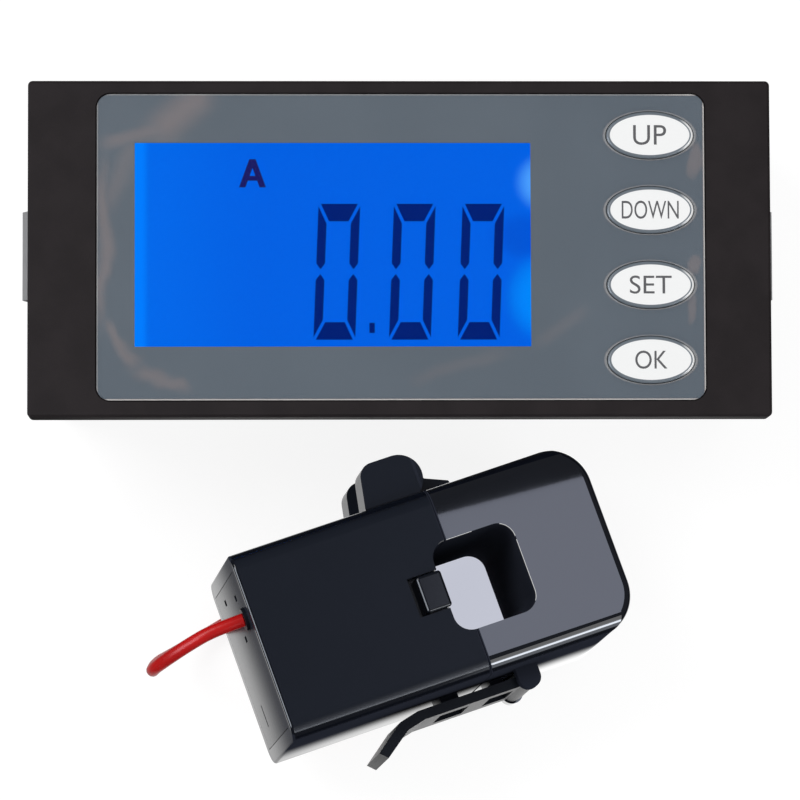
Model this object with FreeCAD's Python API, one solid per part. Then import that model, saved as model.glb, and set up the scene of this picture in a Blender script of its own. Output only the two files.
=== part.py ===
import FreeCAD, Part
import math
import os

from FreeCAD import Placement, Rotation, Vector

# A panel power meter that lies on its back, with the split-core current sensor that belongs to it.
# Millimetres. The origin is the middle of the meter's back, X to the right along the bezel,
# Y up the bezel, Z out of its front. The sensor stands on the same table, at Z = 0.

# Meter: bezel and housing
FACE_W, FACE_H, FACE_R = 110.0, 50.0, 0.7
DEPTH = 30.0
FLANGE_T, FLANGE_REACH = 5.5, 2.5
FRONT_WALL = 2.0
HOUSING_R, CAVITY_R = 1.0, 0.5
WALL = 2.0
COVER_T = 1.8
SKIRT_DEPTH, SKIRT_T, SKIRT_GAP = 2.8, 1.6, 0.2
RIM_CHAMFER = 0.4
VENT_COUNT, VENT_PITCH, VENT_W, VENT_L, VENT_Z = 9, 4.0, 1.6, 5.0, 15.0

# Front label and film, in a shallow recess of the bezel
LABEL_W, LABEL_H, LABEL_R = 90.0, 45.5, 2.0
LABEL_X, LABEL_Y = 0.2, 0.25
LABEL_T, FILM_T, LAYER_GAP = 0.2, 0.15, 0.02
RECESS_DEPTH, RECESS_GAP = 0.5, 0.2
EMBOSS_W, EMBOSS_H, EMBOSS_T, EMBOSS_EDGE = 0.55, 0.45, 0.16, 0.12

# Display
WINDOW_W, WINDOW_H, WINDOW_R, LENS_R = 58.6, 30.3, 0.1, 0.6
WINDOW_X, WINDOW_Y = -9.9, 0.6
LENS_LAP, LENS_FIT = 0.8, 0.1
GLASS_W, GLASS_H, GLASS_T = 62.0, 33.0, 2.2
FRAME_T, FRAME_FIT, FRAME_END, FRAME_R = 1.3, 0.15, 2.0, 1.0
GUIDE_H, SHEET_T = 28.8, 0.2
STRIP_T, STRIP_GAP, STRIP_IN = 1.6, 0.15, 2.0
LAMP_W, LAMP_L, LAMP_T, LAMP_FIT = 1.3, 3.4, 2.4, 0.2
LAMP_Y = (9.5, -7.5)
SEGMENT_T = 0.06
DIGIT_W, DIGIT_H, DIGIT_BAR, DIGIT_CAP = 6.2, 20.25, 1.3, 2.6
DIGIT_POINT = 0.9
DIGIT_SLANT = 0.04
DIGIT_GAP = 0.35
DIGIT_X = (-9.3, 1.9, 12.1)
DIGIT_Y = -3.2
POINT_X, POINT_W, POINT_H, POINT_UP = -4.1, 0.8, 1.5, 1.75
UNIT_X, UNIT_Y, UNIT_W, UNIT_H, UNIT_BAR = -21.8, 11.5, 4.0, 4.2, 0.95
UNIT_CROSS_Y, UNIT_CROSS_H = -0.75, 0.7

# Keys and their switches
KEY_NAMES = ("key_up", "key_down", "key_set", "key_ok")
KEY_IN_X, KEY_TOP_Y, KEY_PITCH = 17.9, 16.85, 11.15
KEY_W, KEY_H, KEY_EDGE = 12.9, 7.0, 0.35
KEY_RISE = 0.3
KEY_FLANGE, KEY_FLANGE_T = 0.6, 0.5
KEY_FIT, KEY_SEAT, KEY_CUT = 0.1, 0.1, 0.12
KEY_POCKET_W, KEY_POCKET_H = 15.4, 42.6
STEM_R, SWITCH_FIT = 1.6, 0.1
KEY_TRAVEL, KEY_SPARE = 0.3, 0.05
SWITCH_SIDE, SWITCH_H, SWITCH_FLOOR, SWITCH_R = 6.0, 3.4, 1.2, 0.3
DOME_T = 0.15

# Boards
STANDOFF = 5.9
BOARD_T, BOARD_R, BOARD_GAP = 1.6, 0.6, 0.3
MAIN_IN_X, MAIN_IN_Y = 4.3, 2.3
POST_IN_X, POST_IN_Y, POST_R = 6.3, 8.0, 2.2
POWER_Z, POWER_IN_X, POWER_IN_Y = 12.0, 3.5, 3.0
BOSS_IN_X, BOSS_IN_Y, BOSS_R = 6.0, 6.5, 3.2
SCREW_FIT, SCREW_PLAY = 0.05, 0.2
CROSS_SPAN, CROSS_W, CROSS_DEPTH = 0.6, 0.5, 0.5
BOARD_SCREW_R, BOARD_SCREW_L, BOARD_HEAD_R, BOARD_HEAD_T = 0.9, 5.0, 1.8, 1.2
CASE_SCREW_R, CASE_SCREW_L, CASE_HEAD_R, CASE_HEAD_T = 1.2, 8.0, 2.3, 1.1
PILOT_SPARE, HEAD_SINK = 0.3, 0.2
CHIPS = ((-20.0, 2.0, 10.0, 10.0, 1.4), (-2.0, 6.0, 6.2, 5.0, 1.5), (10.0, -6.0, 11.0, 4.6, 3.0))
HEADER_X, HEADER_Y, HEADER_W, HEADER_H = -32.0, -13.0, 12.7, 2.5
CORE_X, CORE_Y, CORE_W, CORE_H, CORE_T = -24.0, -7.0, 20.0, 18.0, 5.0
CORE_LEG, CORE_SLOT_W, CORE_SLOT_H = 2.5, 14.0, 4.0
WINDING_FIT, WINDING_T = 0.2, 1.9
CAP_R, CAP_L, CAP_Y, CAP_X = 4.0, 12.0, (-12.5, -3.5), 6.0
CAP_GROOVE_IN, CAP_GROOVE_W, CAP_GROOVE_DEPTH = 2.0, 0.8, 0.3
FUSE_X, FUSE_Y, FUSE_R, FUSE_L, FUSE_CAP_L, FUSE_CAP_T = 28.0, -14.0, 2.4, 18.0, 4.0, 0.25
SURGE_X, SURGE_Y, SURGE_R, SURGE_T, SURGE_EDGE = 27.0, -7.6, 4.2, 3.6, 0.8

# Terminals at the back, screws facing back, wires from above
WAYS, WAY_PITCH = 4, 7.62
BLOCK_DEPTH, BLOCK_INSET, BLOCK_END, BLOCK_FIT, BLOCK_WALL = 10.0, 0.8, 0.4, 0.3, 1.9
DOOR_SPARE = 1.0
CAGE_W, CAGE_H, CAGE_T = 5.4, 4.8, 0.9
CAGE_WINDOW, CAGE_FIT = 4.1, 0.2
CAGE_BACK, CAGE_TRAVEL = 5.0, 2.4
BAR_T, BAR_W, BAR_FIT = 0.6, 3.2, 0.2
BAR_PLAY, BAR_IN, BAR_LEG_GAP = 0.1, 0.4, 0.4
T_HEAD_R, T_HEAD_T, T_HEAD_SINK, T_HEAD_PLAY = 2.0, 1.0, 0.15, 0.2
T_SHANK_R, T_SEAT_T, T_SHANK_PLAY, T_FIT, T_TIP_GAP = 1.3, 0.55, 0.1, 0.05, 0.05
SLOT_W, SLOT_DEPTH = 0.6, 0.5
WIRE_R = 1.7

# Spring clips in pockets of the housing's sides
CLIP_H, CLIP_T, CLIP_PROUD = 13.3, 0.5, 1.3
POCKET_H, POCKET_DEPTH, POCKET_WALL = 16.0, 3.6, 1.6
CLIP_PIN_R, CLIP_PIN_FIT, CLIP_PIN_Z, CLIP_PIN_INSET = 0.5, 0.05, 4.2, 1.9
CLIP_KNEE_Z, CLIP_TOP_Z, CLIP_TOP_INSET = 19.0, 23.6, 1.4
CLIP_FOOT_RISE, CLIP_TIP_DROP = 0.33, 0.2

# Sensor: its own frame runs u from the wire end to the cap end, v across, w through its thickness
SENSOR_L, SENSOR_W, SENSOR_T = 55.0, 29.0, 28.0
SPLIT_U, SPLIT_GAP = 31.0, 0.1
SHELL_T = 1.5
CAP_ROUND, EDGE_ROUND, RIM_ROUND, END_ROUND = 6.5, 2.6, 1.1, 0.4
HOLE_U0, HOLE_END, HOLE_V0, HOLE_V1, HOLE_R = 28.3, 13.8, 6.9, 20.8, 2.7
HOLE_WALL = 1.3
END_PLATE_T, END_FIT, END_RIM = 1.6, 0.1, 2.4
END_NOTCHES = ((24.5, 10.0), (20.7, 10.0), (17.6, 16.7), (23.4, 20.4))
END_NOTCH_V, END_NOTCH_W, END_NOTCH_DEPTH = 0.9, 1.6, 1.0
END_SLIT_V, END_SLIT_W, END_SLIT_T = (5.0, 8.4), 9.0, 0.6
CORE_LOW_V, CORE_HIGH_V = (1.9, 5.3), (22.4, 26.8)
CORE_W0, CORE_W1 = 8.0, 20.0
BASE_LEG_U, CAP_LEG_IN = (13.0, 18.0), (12.2, 7.0)
CORE_GAP, CORE_POCKET_FIT, CORE_POCKET_PAST = 0.1, 0.15, 1.0
SPRING_T, SPRING_FLAT, SPRING_SPAN = 0.4, 4.0, 14.0
SPRING_W = (11.0, 17.0)
BOBBIN_FIT, BOBBIN_T, BOBBIN_CHEEK = 0.3, 0.8, 2.2
BOBBIN_V0, BOBBIN_V1 = 6.2, 21.6
COPPER_LOW, COPPER_EDGE = 0.4, 1.2
BURDEN_T = 1.2
BURDEN_V, BURDEN_W = (4.0, 25.0), (4.0, 22.0)
HINGE_U, HINGE_V, HINGE_R = 28.3, 32.0, 3.6
HINGE_PIN_R, HINGE_FIT, PIN_COVER = 0.9, 0.05, 1.0
KNUCKLES_W = ((3.5, 9.4), (9.7, 18.7), (19.0, 25.0))
KNUCKLE_CLEAR = 0.35
LOBE_TAIL_U, LOBE_HEAD_U, LOBE_HEAD_R, LOBE_FOOT = 21.6, 23.2, 2.2, 1.1
TOUCH_U, TOUCH_V = 0.6, 0.8
ARM_END_U, ARM_T, ARM_FOOT = 36.5, 1.9, 1.2
ARM_BEND_U, ARM_BEND_V, ARM_DROP, ARM_SLOPE = 2.2, 0.8, 0.6, 1.0
STRAP_V, STRAP_T = -1.0, 1.5
STRAP_W = (6.3, 20.0)
STRAP_PIVOT_U, STRAP_PIVOT_R, STRAP_PIN_R = 37.2, 1.45, 0.6
STRAP_TAIL_U, STRAP_TIP_U, STRAP_TIP_V, STRAP_TIP_HALF = 20.0, 13.0, -5.6, 0.55
STRAP_KNEE_U, STRAP_KNEE_V, STRAP_KNEE_SHIFT = 3.0, 0.7, 0.7
STRAP_SLOTS = ((23.5, 28.1), (31.4, 35.2))
STRAP_SLOT_W = (9.2, 17.0)
CATCH_V, CATCH_FIT, CATCH_SIDE = -1.7, 0.9, 0.5
EAR_T, EAR_GAP, EAR_R = 1.9, 0.25, 1.7
TONGUE_U, TONGUE_V, TONGUE_DEPTH, TONGUE_RISE = (24.8, 28.7), (11.3, 16.9), 2.0, 0.6
TONGUE_GAP, TONGUE_SLIT, TONGUE_EDGE = 0.2, 1.2, 0.45
TONGUE_FLOOR_T, TONGUE_FLOOR_U, TONGUE_FLOOR_V, TONGUE_FLOOR_LAP = 1.2, 0.8, 1.0, 0.2
SENSOR_YAW, SENSOR_PITCH, SENSOR_ROLL = 18.8, 8.8, -4.9
SENSOR_X, SENSOR_Y = -18.9, -76.3

# Lead of the sensor: red, round, out of the end face, down to the table and into a coil
LEAD_D = 2.0
LEAD_V, LEAD_W = 19.7, 23.4
LEAD_FIT = 0.1
GROMMET_R, GROMMET_L, GROMMET_LIP = 1.7, 3.2, 0.5
# Its runs on the way down from the grommet, and on the way up from the coil: length, heading, slope
LEAD_DOWN = (
    (4.6, 199.0, 4.0),
    (4.7, 210.0, -16.0),
    (4.7, 212.0, -39.0),
    (4.9, 212.0, -62.0),
    (6.0, 212.0, -86.0),
)
LEAD_UP = (
    (5.1, 211.0, 0.0),
    (6.4, 211.0, 3.0),
    (4.7, 211.0, 20.0),
    (5.1, 212.0, 43.0),
    (5.9, 212.0, 65.0),
)
LEAD_BEND = 0.45
COIL_X, COIL_Y = -11.26, -59.5
COIL_MID_R, COIL_PITCH, COIL_LAYER, COIL_FOOT = 10.0, 2.45, 2.45, 0.35
COIL_START_DEG, COIL_IN, COIL_CLIMB, COIL_OUT = 121.0, 1.6, 0.5, 1.2
COIL_TAIL = 2.0
TIE_T, TIE_W, TIE_DEG, TIE_FIT = 0.25, 2.6, 234.0, 0.1
TIE_R0, TIE_R1 = 6.6, 11.6
FERRULE_COLLAR_R, FERRULE_COLLAR_L, FERRULE_R, FERRULE_L = 1.3, 1.2, 0.7, 2.8
SAMPLES, SAMPLES_APART = 600, 40

# Sizes that follow from the ones above
HOUSING_W, HOUSING_H = FACE_W - 2 * FLANGE_REACH, FACE_H - 2 * FLANGE_REACH
MAIN_W, MAIN_H = HOUSING_W - 2 * MAIN_IN_X, HOUSING_H - 2 * MAIN_IN_Y
POWER_W, POWER_H = HOUSING_W - 2 * POWER_IN_X, HOUSING_H - 2 * POWER_IN_Y
POST_X, POST_Y = HOUSING_W / 2 - POST_IN_X, HOUSING_H / 2 - POST_IN_Y
BOSS_X, BOSS_Y = HOUSING_W / 2 - BOSS_IN_X, HOUSING_H / 2 - BOSS_IN_Y
KEY_X = FACE_W / 2 - KEY_IN_X
HOLE_U1 = SENSOR_L - HOLE_END
CAP_LEG_U = (SENSOR_L - CAP_LEG_IN[0], SENSOR_L - CAP_LEG_IN[1])

# Levels of the meter, from its back to its front
RECESS_Z = DEPTH - RECESS_DEPTH
WALL_Z = RECESS_Z - FRONT_WALL
SEAT_Z = DEPTH - FLANGE_T
SKIRT_Z = SEAT_Z - SKIRT_DEPTH
BOARD_Z = WALL_Z - STANDOFF
MAIN_Z = BOARD_Z - BOARD_T
FILM_Z = RECESS_Z + LABEL_T + LAYER_GAP
CAVITY_W = HOUSING_W - 2 * (WALL + SKIRT_GAP + SKIRT_T)
CAVITY_H = HOUSING_H - 2 * (WALL + SKIRT_GAP + SKIRT_T)
POCKET_X = HOUSING_W / 2 - POCKET_DEPTH
KEY_YS = [KEY_TOP_Y - i * KEY_PITCH for i in range(len(KEY_NAMES))]
WAY_XS = [(i - (WAYS - 1) / 2) * WAY_PITCH for i in range(WAYS)]
BLOCK_W = WAYS * WAY_PITCH + 2 * BLOCK_END
BLOCK_Y1 = HOUSING_H / 2 - WALL - BLOCK_FIT
BLOCK_Y0 = BLOCK_Y1 - BLOCK_DEPTH
CAGE_Y = BLOCK_Y1 - BLOCK_WALL - CAGE_H / 2


def box(x0, x1, y0, y1, z0, z1):
    return Part.makeBox(x1 - x0, y1 - y0, z1 - z0, Vector(x0, y0, z0))


def slab(cx, cy, w, h, z0, z1, r=0.0):
    """A plate with its four upright edges rounded."""
    plate = box(cx - w / 2, cx + w / 2, cy - h / 2, cy + h / 2, z0, z1)
    if r:
        upright = [e for e in plate.Edges if abs(e.tangentAt(e.FirstParameter).z) > 0.9]
        plate = plate.makeFillet(r, upright)
    return plate


def rod(r, start, along):
    """A round rod from one point along a vector."""
    return Part.makeCylinder(r, along.Length, start, along)


def oval(cx, cy, w, h, z0, z1):
    ring = Part.Ellipse(Vector(cx, cy, z0), w / 2, h / 2).toShape()
    return Part.Face(Part.Wire(ring)).extrude(Vector(0, 0, z1 - z0))


def prism(points, along):
    """A flat outline of straight sides, pushed along a vector."""
    corners = [Vector(*p) for p in points]
    return Part.Face(Part.makePolygon(corners + corners[:1])).extrude(along)


def joined(shapes):
    whole = shapes[0].fuse(shapes[1:]) if len(shapes) > 1 else shapes[0]
    return whole.removeSplitter()


def save(name, *shapes):
    solids = [s for shape in shapes for s in shape.Solids]
    assert solids and all(s.isValid() and s.Volume > 0 for s in solids), name
    group = solids[0] if len(solids) == 1 else Part.makeCompound(solids)
    group.exportStep(f"parts/{name}.step")
    return group


def four(x, y):
    return [Vector(sx * x, sy * y, 0) for sx in (-1, 1) for sy in (-1, 1)]


def screw(shank_r, shank_l, head_r, head_t, z):
    """A screw on the Z axis, head down: its head's bearing face at z, a cross in its head."""
    head = rod(head_r, Vector(0, 0, z - head_t), Vector(0, 0, head_t))
    shank = rod(shank_r, Vector(0, 0, z), Vector(0, 0, shank_l))
    arm, foot = head_r * CROSS_SPAN, z - head_t
    cross = box(-arm, arm, -CROSS_W / 2, CROSS_W / 2, foot, foot + head_t * CROSS_DEPTH)
    other = cross.rotated(Vector(0, 0, 0), Vector(0, 0, 1), 90)
    return joined([head, shank]).cut([cross, other])


# Meter


def key_holes(grow, z0, z1):
    return [oval(KEY_X, y, KEY_W + 2 * grow, KEY_H + 2 * grow, z0, z1) for y in KEY_YS]


def bezel():
    flange = slab(0, 0, FACE_W, FACE_H, SEAT_Z, DEPTH, FACE_R)
    rim = [e for e in flange.Edges if e.BoundBox.ZMin > DEPTH - 0.01]
    flange = flange.makeChamfer(RIM_CHAMFER, rim)
    skirt_w = HOUSING_W - 2 * (WALL + SKIRT_GAP)
    skirt_h = HOUSING_H - 2 * (WALL + SKIRT_GAP)
    skirt = slab(0, 0, skirt_w, skirt_h, SKIRT_Z, SEAT_Z)
    body = flange.fuse(skirt)
    cuts = [slab(0, 0, CAVITY_W, CAVITY_H, SKIRT_Z, WALL_Z)]
    notch_x = POCKET_X - POCKET_WALL - SKIRT_GAP
    notch_y = POCKET_H / 2 + POCKET_WALL + SKIRT_GAP
    for side in (-1, 1):
        xs = sorted((side * notch_x, side * HOUSING_W / 2))
        cuts.append(box(*xs, -notch_y, notch_y, SKIRT_Z, SEAT_Z))
    grow = 2 * RECESS_GAP
    recess_r = LABEL_R + RECESS_GAP
    recess = slab(LABEL_X, LABEL_Y, LABEL_W + grow, LABEL_H + grow, RECESS_Z, DEPTH, recess_r)
    lens_w = WINDOW_W + 2 * (LENS_LAP + LENS_FIT)
    lens_h = WINDOW_H + 2 * (LENS_LAP + LENS_FIT)
    cuts += [recess, slab(WINDOW_X, WINDOW_Y, lens_w, lens_h, WALL_Z, RECESS_Z, LENS_R)]
    cuts.append(slab(KEY_X, 0, KEY_POCKET_W, KEY_POCKET_H, SKIRT_Z, WALL_Z))
    cuts += key_holes(KEY_FIT, WALL_Z, RECESS_Z)
    body = body.cut(cuts)
    feet = [at + Vector(0, 0, BOARD_Z) for at in four(POST_X, POST_Y)]
    posts = [rod(POST_R, foot, Vector(0, 0, STANDOFF)) for foot in feet]
    pilot_l = BOARD_SCREW_L - BOARD_T + PILOT_SPARE
    pilots = [rod(BOARD_SCREW_R + SCREW_FIT, foot, Vector(0, 0, pilot_l)) for foot in feet]
    return joined([body] + posts).cut(pilots)


def front_label():
    top = RECESS_Z + LABEL_T
    sheet = slab(LABEL_X, LABEL_Y, LABEL_W, LABEL_H, RECESS_Z, top, LABEL_R)
    window = slab(WINDOW_X, WINDOW_Y, WINDOW_W, WINDOW_H, RECESS_Z, top, WINDOW_R)
    return sheet.cut(key_holes(KEY_CUT, RECESS_Z, top) + [window])


def protective_film():
    """The clear film over the label, with an embossed rim round each key."""
    flat, top = FILM_Z + FILM_T, FILM_Z + FILM_T + EMBOSS_T
    sheet = slab(LABEL_X, LABEL_Y, LABEL_W, LABEL_H, FILM_Z, flat, LABEL_R)
    rims = []
    for y in KEY_YS:
        rim_w, rim_h = KEY_W + 2 * (KEY_CUT + EMBOSS_W), KEY_H + 2 * (KEY_CUT + EMBOSS_H)
        rim = oval(KEY_X, y, rim_w, rim_h, FILM_Z, top)
        edge = [e for e in rim.Edges if e.BoundBox.ZMin > flat]
        rims.append(rim.makeFillet(EMBOSS_EDGE, edge))
    return joined([sheet] + rims).cut(key_holes(KEY_CUT, FILM_Z, top))


def display_lens():
    w, h = WINDOW_W + 2 * LENS_LAP, WINDOW_H + 2 * LENS_LAP
    return slab(WINDOW_X, WINDOW_Y, w, h, WALL_Z, RECESS_Z, LENS_R)


def bar(x0, x1, y, thick, slope, z):
    """One bar of a digit, with its ends cut at an angle."""
    low, high = y - thick / 2, y + thick / 2
    points = [(x0, high, z), (x1, high, z), (x1 - slope, low, z), (x0 + slope, low, z)]
    return prism(points, Vector(0, 0, SEGMENT_T))


def side_bar(x, y_flat, y_point, inward, z):
    """One upright bar of a digit: mitred at its outer end, pointed at its inner end."""
    wide = DIGIT_BAR * inward
    mitre = math.copysign(DIGIT_CAP, y_flat - y_point)
    shoulder = y_point + math.copysign(DIGIT_POINT, y_flat - y_point)
    points = [(x, y_flat, z), (x + wide, y_flat - mitre, z), (x + wide, shoulder, z)]
    points += [(x + wide / 2, y_point, z), (x, shoulder, z)]
    return prism(points, Vector(0, 0, SEGMENT_T))


def digit_zero(cx, z):
    """The digit 0 of a segment display: six bars, leaning a little to the right."""
    half_w, half_h, gap = DIGIT_W / 2, DIGIT_H / 2, DIGIT_GAP
    top_x, level = half_w - gap, half_h - DIGIT_CAP / 2
    foot_x = top_x - DIGIT_BAR
    bars = [bar(-top_x, top_x, level, DIGIT_CAP, DIGIT_BAR, z)]
    bars.append(bar(-foot_x, foot_x, -level, DIGIT_CAP, -DIGIT_BAR, z))
    for side in (-1, 1):
        for up in (-1, 1):
            bars.append(side_bar(side * half_w, up * (half_h - gap), up * gap, -side, z))
    lean = FreeCAD.Matrix()
    lean.A12 = DIGIT_SLANT
    placed = []
    for one in bars:
        leaning = one.transformGeometry(lean)
        leaning.translate(Vector(cx, DIGIT_Y, 0))
        placed.append(leaning)
    return placed


def unit_letter(z):
    """The letter A over the digits: two leaning legs and a bar between them."""
    w, h = UNIT_W / 2, UNIT_H / 2
    strokes = [slab(0, UNIT_CROSS_Y, w, UNIT_CROSS_H, z, z + SEGMENT_T)]
    for side in (-1, 1):
        foot = [(side * w, -h, z), (side * (w - UNIT_BAR), -h, z)]
        head = [(-side * UNIT_BAR / 2, h, z), (side * UNIT_BAR / 2, h, z)]
        strokes.append(prism(foot + head, Vector(0, 0, SEGMENT_T)))
    return joined(strokes).translated(Vector(UNIT_X, UNIT_Y, 0))


def display_parts():
    glass_top = WALL_Z - LAYER_GAP - SEGMENT_T
    glass_z = glass_top - GLASS_T
    under = glass_z - SHEET_T
    guide_z = BOARD_Z + SHEET_T
    glass = slab(WINDOW_X, WINDOW_Y, GLASS_W, GLASS_H, glass_z, glass_top)
    segments = [s for cx in DIGIT_X for s in digit_zero(cx, glass_top)]
    point_y = DIGIT_Y - DIGIT_H / 2 + POINT_UP
    ink_top = glass_top + SEGMENT_T
    segments.append(slab(POINT_X, point_y, POINT_W, POINT_H, glass_top, ink_top))
    segments.append(unit_letter(glass_top))
    hole_w, hole_h = GLASS_W + 2 * FRAME_FIT, GLASS_H + 2 * FRAME_FIT
    frame_w, frame_h = hole_w + 2 * FRAME_END, hole_h + 2 * FRAME_T
    frame = slab(WINDOW_X, WINDOW_Y, frame_w, frame_h, BOARD_Z, WALL_Z, FRAME_R)
    frame = frame.cut(slab(WINDOW_X, WINDOW_Y, hole_w, hole_h, BOARD_Z, WALL_Z))
    lamp_x1 = WINDOW_X + GLASS_W / 2
    lamps = []
    pockets = []
    lamp_x0, lamp_top = lamp_x1 - LAMP_W, BOARD_Z + LAMP_T
    for y in LAMP_Y:
        half = LAMP_L / 2
        lamps.append(box(lamp_x0, lamp_x1, y - half, y + half, BOARD_Z, lamp_top))
        room = half + LAMP_FIT
        past = lamp_x1 + LAMP_FIT
        pockets.append(box(lamp_x0 - LAMP_FIT, past, y - room, y + room, BOARD_Z, lamp_top + LAMP_FIT))
    guide = slab(WINDOW_X, WINDOW_Y, GLASS_W, GUIDE_H, guide_z, under).cut(pockets)
    reflector = slab(WINDOW_X, WINDOW_Y, GLASS_W, GUIDE_H, BOARD_Z, guide_z).cut(pockets)
    diffuser = slab(WINDOW_X, WINDOW_Y, GLASS_W, GUIDE_H, under, glass_z)
    strips = []
    for side in (-1, 1):
        y = WINDOW_Y + side * (GUIDE_H / 2 + STRIP_GAP + STRIP_T / 2)
        strips.append(slab(WINDOW_X, y, GLASS_W - 2 * STRIP_IN, STRIP_T, BOARD_Z, glass_z))
    save("display_glass", glass)
    save("display_segments", *segments)
    save("display_frame", frame)
    save("backlight_lamps", *lamps)
    save("light_guide", guide)
    save("light_sheets", reflector, diffuser)
    save("elastomer_strips", *strips)


def key(y):
    """A domed oval key: a flange behind the bezel's wall and a stem down into its switch."""
    top = DEPTH + KEY_RISE
    flange_z1 = WALL_Z - KEY_SEAT
    flange_z0 = flange_z1 - KEY_FLANGE_T
    cap = oval(KEY_X, y, KEY_W, KEY_H, flange_z1, top)
    crown = [e for e in cap.Edges if e.BoundBox.ZMin > top - 0.01]
    cap = cap.makeFillet(KEY_EDGE, crown)
    flange = oval(KEY_X, y, KEY_W + 2 * KEY_FLANGE, KEY_H + 2 * KEY_FLANGE, flange_z0, flange_z1)
    stem_z0 = BOARD_Z + SWITCH_FLOOR + DOME_T + KEY_TRAVEL + KEY_SPARE
    stem = rod(STEM_R, Vector(KEY_X, y, stem_z0), Vector(0, 0, flange_z0 - stem_z0))
    return joined([cap, flange, stem])


def tact_switches():
    bodies = []
    for y in KEY_YS:
        body = slab(KEY_X, y, SWITCH_SIDE, SWITCH_SIDE, BOARD_Z, BOARD_Z + SWITCH_H, SWITCH_R)
        bore_z = BOARD_Z + SWITCH_FLOOR
        bore = rod(STEM_R + SWITCH_FIT, Vector(KEY_X, y, bore_z), Vector(0, 0, SWITCH_H))
        bodies.append(body.cut(bore))
        bodies.append(rod(STEM_R, Vector(KEY_X, y, bore_z), Vector(0, 0, DOME_T)))
    return bodies


def pocket_notches(w, z0, z1, gap):
    """What a board leaves free round the two clip pockets."""
    x = POCKET_X - POCKET_WALL - gap
    y = POCKET_H / 2 + POCKET_WALL + gap
    return [box(-w, -x, -y, y, z0, z1), box(x, w, -y, y, z0, z1)]


def main_board_parts():
    board = slab(0, 0, MAIN_W, MAIN_H, MAIN_Z, BOARD_Z, BOARD_R)
    feet = [at + Vector(0, 0, MAIN_Z) for at in four(POST_X, POST_Y)]
    holes = [rod(BOARD_SCREW_R + SCREW_PLAY, foot, Vector(0, 0, BOARD_T)) for foot in feet]
    board = board.cut(holes + pocket_notches(MAIN_W, MAIN_Z, BOARD_Z, BOARD_GAP))
    save("main_board", board)
    chips = [slab(x, y, w, h, MAIN_Z - t, MAIN_Z) for x, y, w, h, t in CHIPS]
    save("board_chips", *chips)
    one = screw(BOARD_SCREW_R, BOARD_SCREW_L, BOARD_HEAD_R, BOARD_HEAD_T, MAIN_Z)
    save("board_screws", *[one.translated(at) for at in four(POST_X, POST_Y)])
    header_z = POWER_Z + BOARD_T
    save("board_header", slab(HEADER_X, HEADER_Y, HEADER_W, HEADER_H, header_z, MAIN_Z))


def power_board_parts():
    top = POWER_Z + BOARD_T
    board = slab(0, 0, POWER_W, POWER_H, POWER_Z, top, BOARD_R)
    save("power_board", board.cut(pocket_notches(POWER_W, POWER_Z, top, BOARD_GAP)))
    winding_out = CORE_LEG + WINDING_FIT + WINDING_T
    mid_z = POWER_Z - winding_out
    core = slab(CORE_X, CORE_Y, CORE_W, CORE_H, mid_z - CORE_T / 2, mid_z + CORE_T / 2)
    slot_y = CORE_LEG + CORE_SLOT_H / 2
    slots = []
    for side in (-1, 1):
        y = CORE_Y + side * slot_y
        slots.append(slab(CORE_X, y, CORE_SLOT_W, CORE_SLOT_H, mid_z - CORE_T / 2, mid_z + CORE_T / 2))
    save("transformer_core", core.cut(slots))
    inside = CORE_LEG + WINDING_FIT
    half_l, half_y = CORE_SLOT_W / 2 - WINDING_FIT, CORE_LEG + CORE_SLOT_H - WINDING_FIT
    room = Vector(2 * half_l, 2 * inside, 2 * inside)
    outer = box(-half_l, half_l, -half_y, half_y, -winding_out, winding_out)
    inner = box(-half_l, half_l, -room.y / 2, room.y / 2, -room.z / 2, room.z / 2)
    save("transformer_winding", outer.cut(inner).translated(Vector(CORE_X, CORE_Y, mid_z)))
    cans = []
    for y in CAP_Y:
        foot = Vector(CAP_X - CAP_L / 2, y, POWER_Z - CAP_R)
        groove = foot + Vector(CAP_L - CAP_GROOVE_IN, 0, 0)
        ring = rod(2 * CAP_R, groove, Vector(CAP_GROOVE_W, 0, 0))
        ring = ring.cut(rod(CAP_R - CAP_GROOVE_DEPTH, groove, Vector(CAP_GROOVE_W, 0, 0)))
        cans.append(rod(CAP_R, foot, Vector(CAP_L, 0, 0)).cut(ring))
    save("capacitors", *cans)
    fuse_foot = Vector(FUSE_X - FUSE_L / 2, FUSE_Y, POWER_Z - FUSE_R)
    other_end = fuse_foot + Vector(FUSE_L - FUSE_CAP_L, 0, 0)
    ends = [rod(FUSE_R, foot, Vector(FUSE_CAP_L, 0, 0)) for foot in (fuse_foot, other_end)]
    tube = rod(FUSE_R - FUSE_CAP_T, fuse_foot, Vector(FUSE_L, 0, 0))
    save("fuse", joined(ends + [tube]))
    disc = rod(SURGE_R, Vector(SURGE_X, SURGE_Y, POWER_Z - SURGE_R), Vector(0, SURGE_T, 0))
    save("surge_disc", disc.makeFillet(SURGE_EDGE, disc.Edges[:1]))


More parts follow.
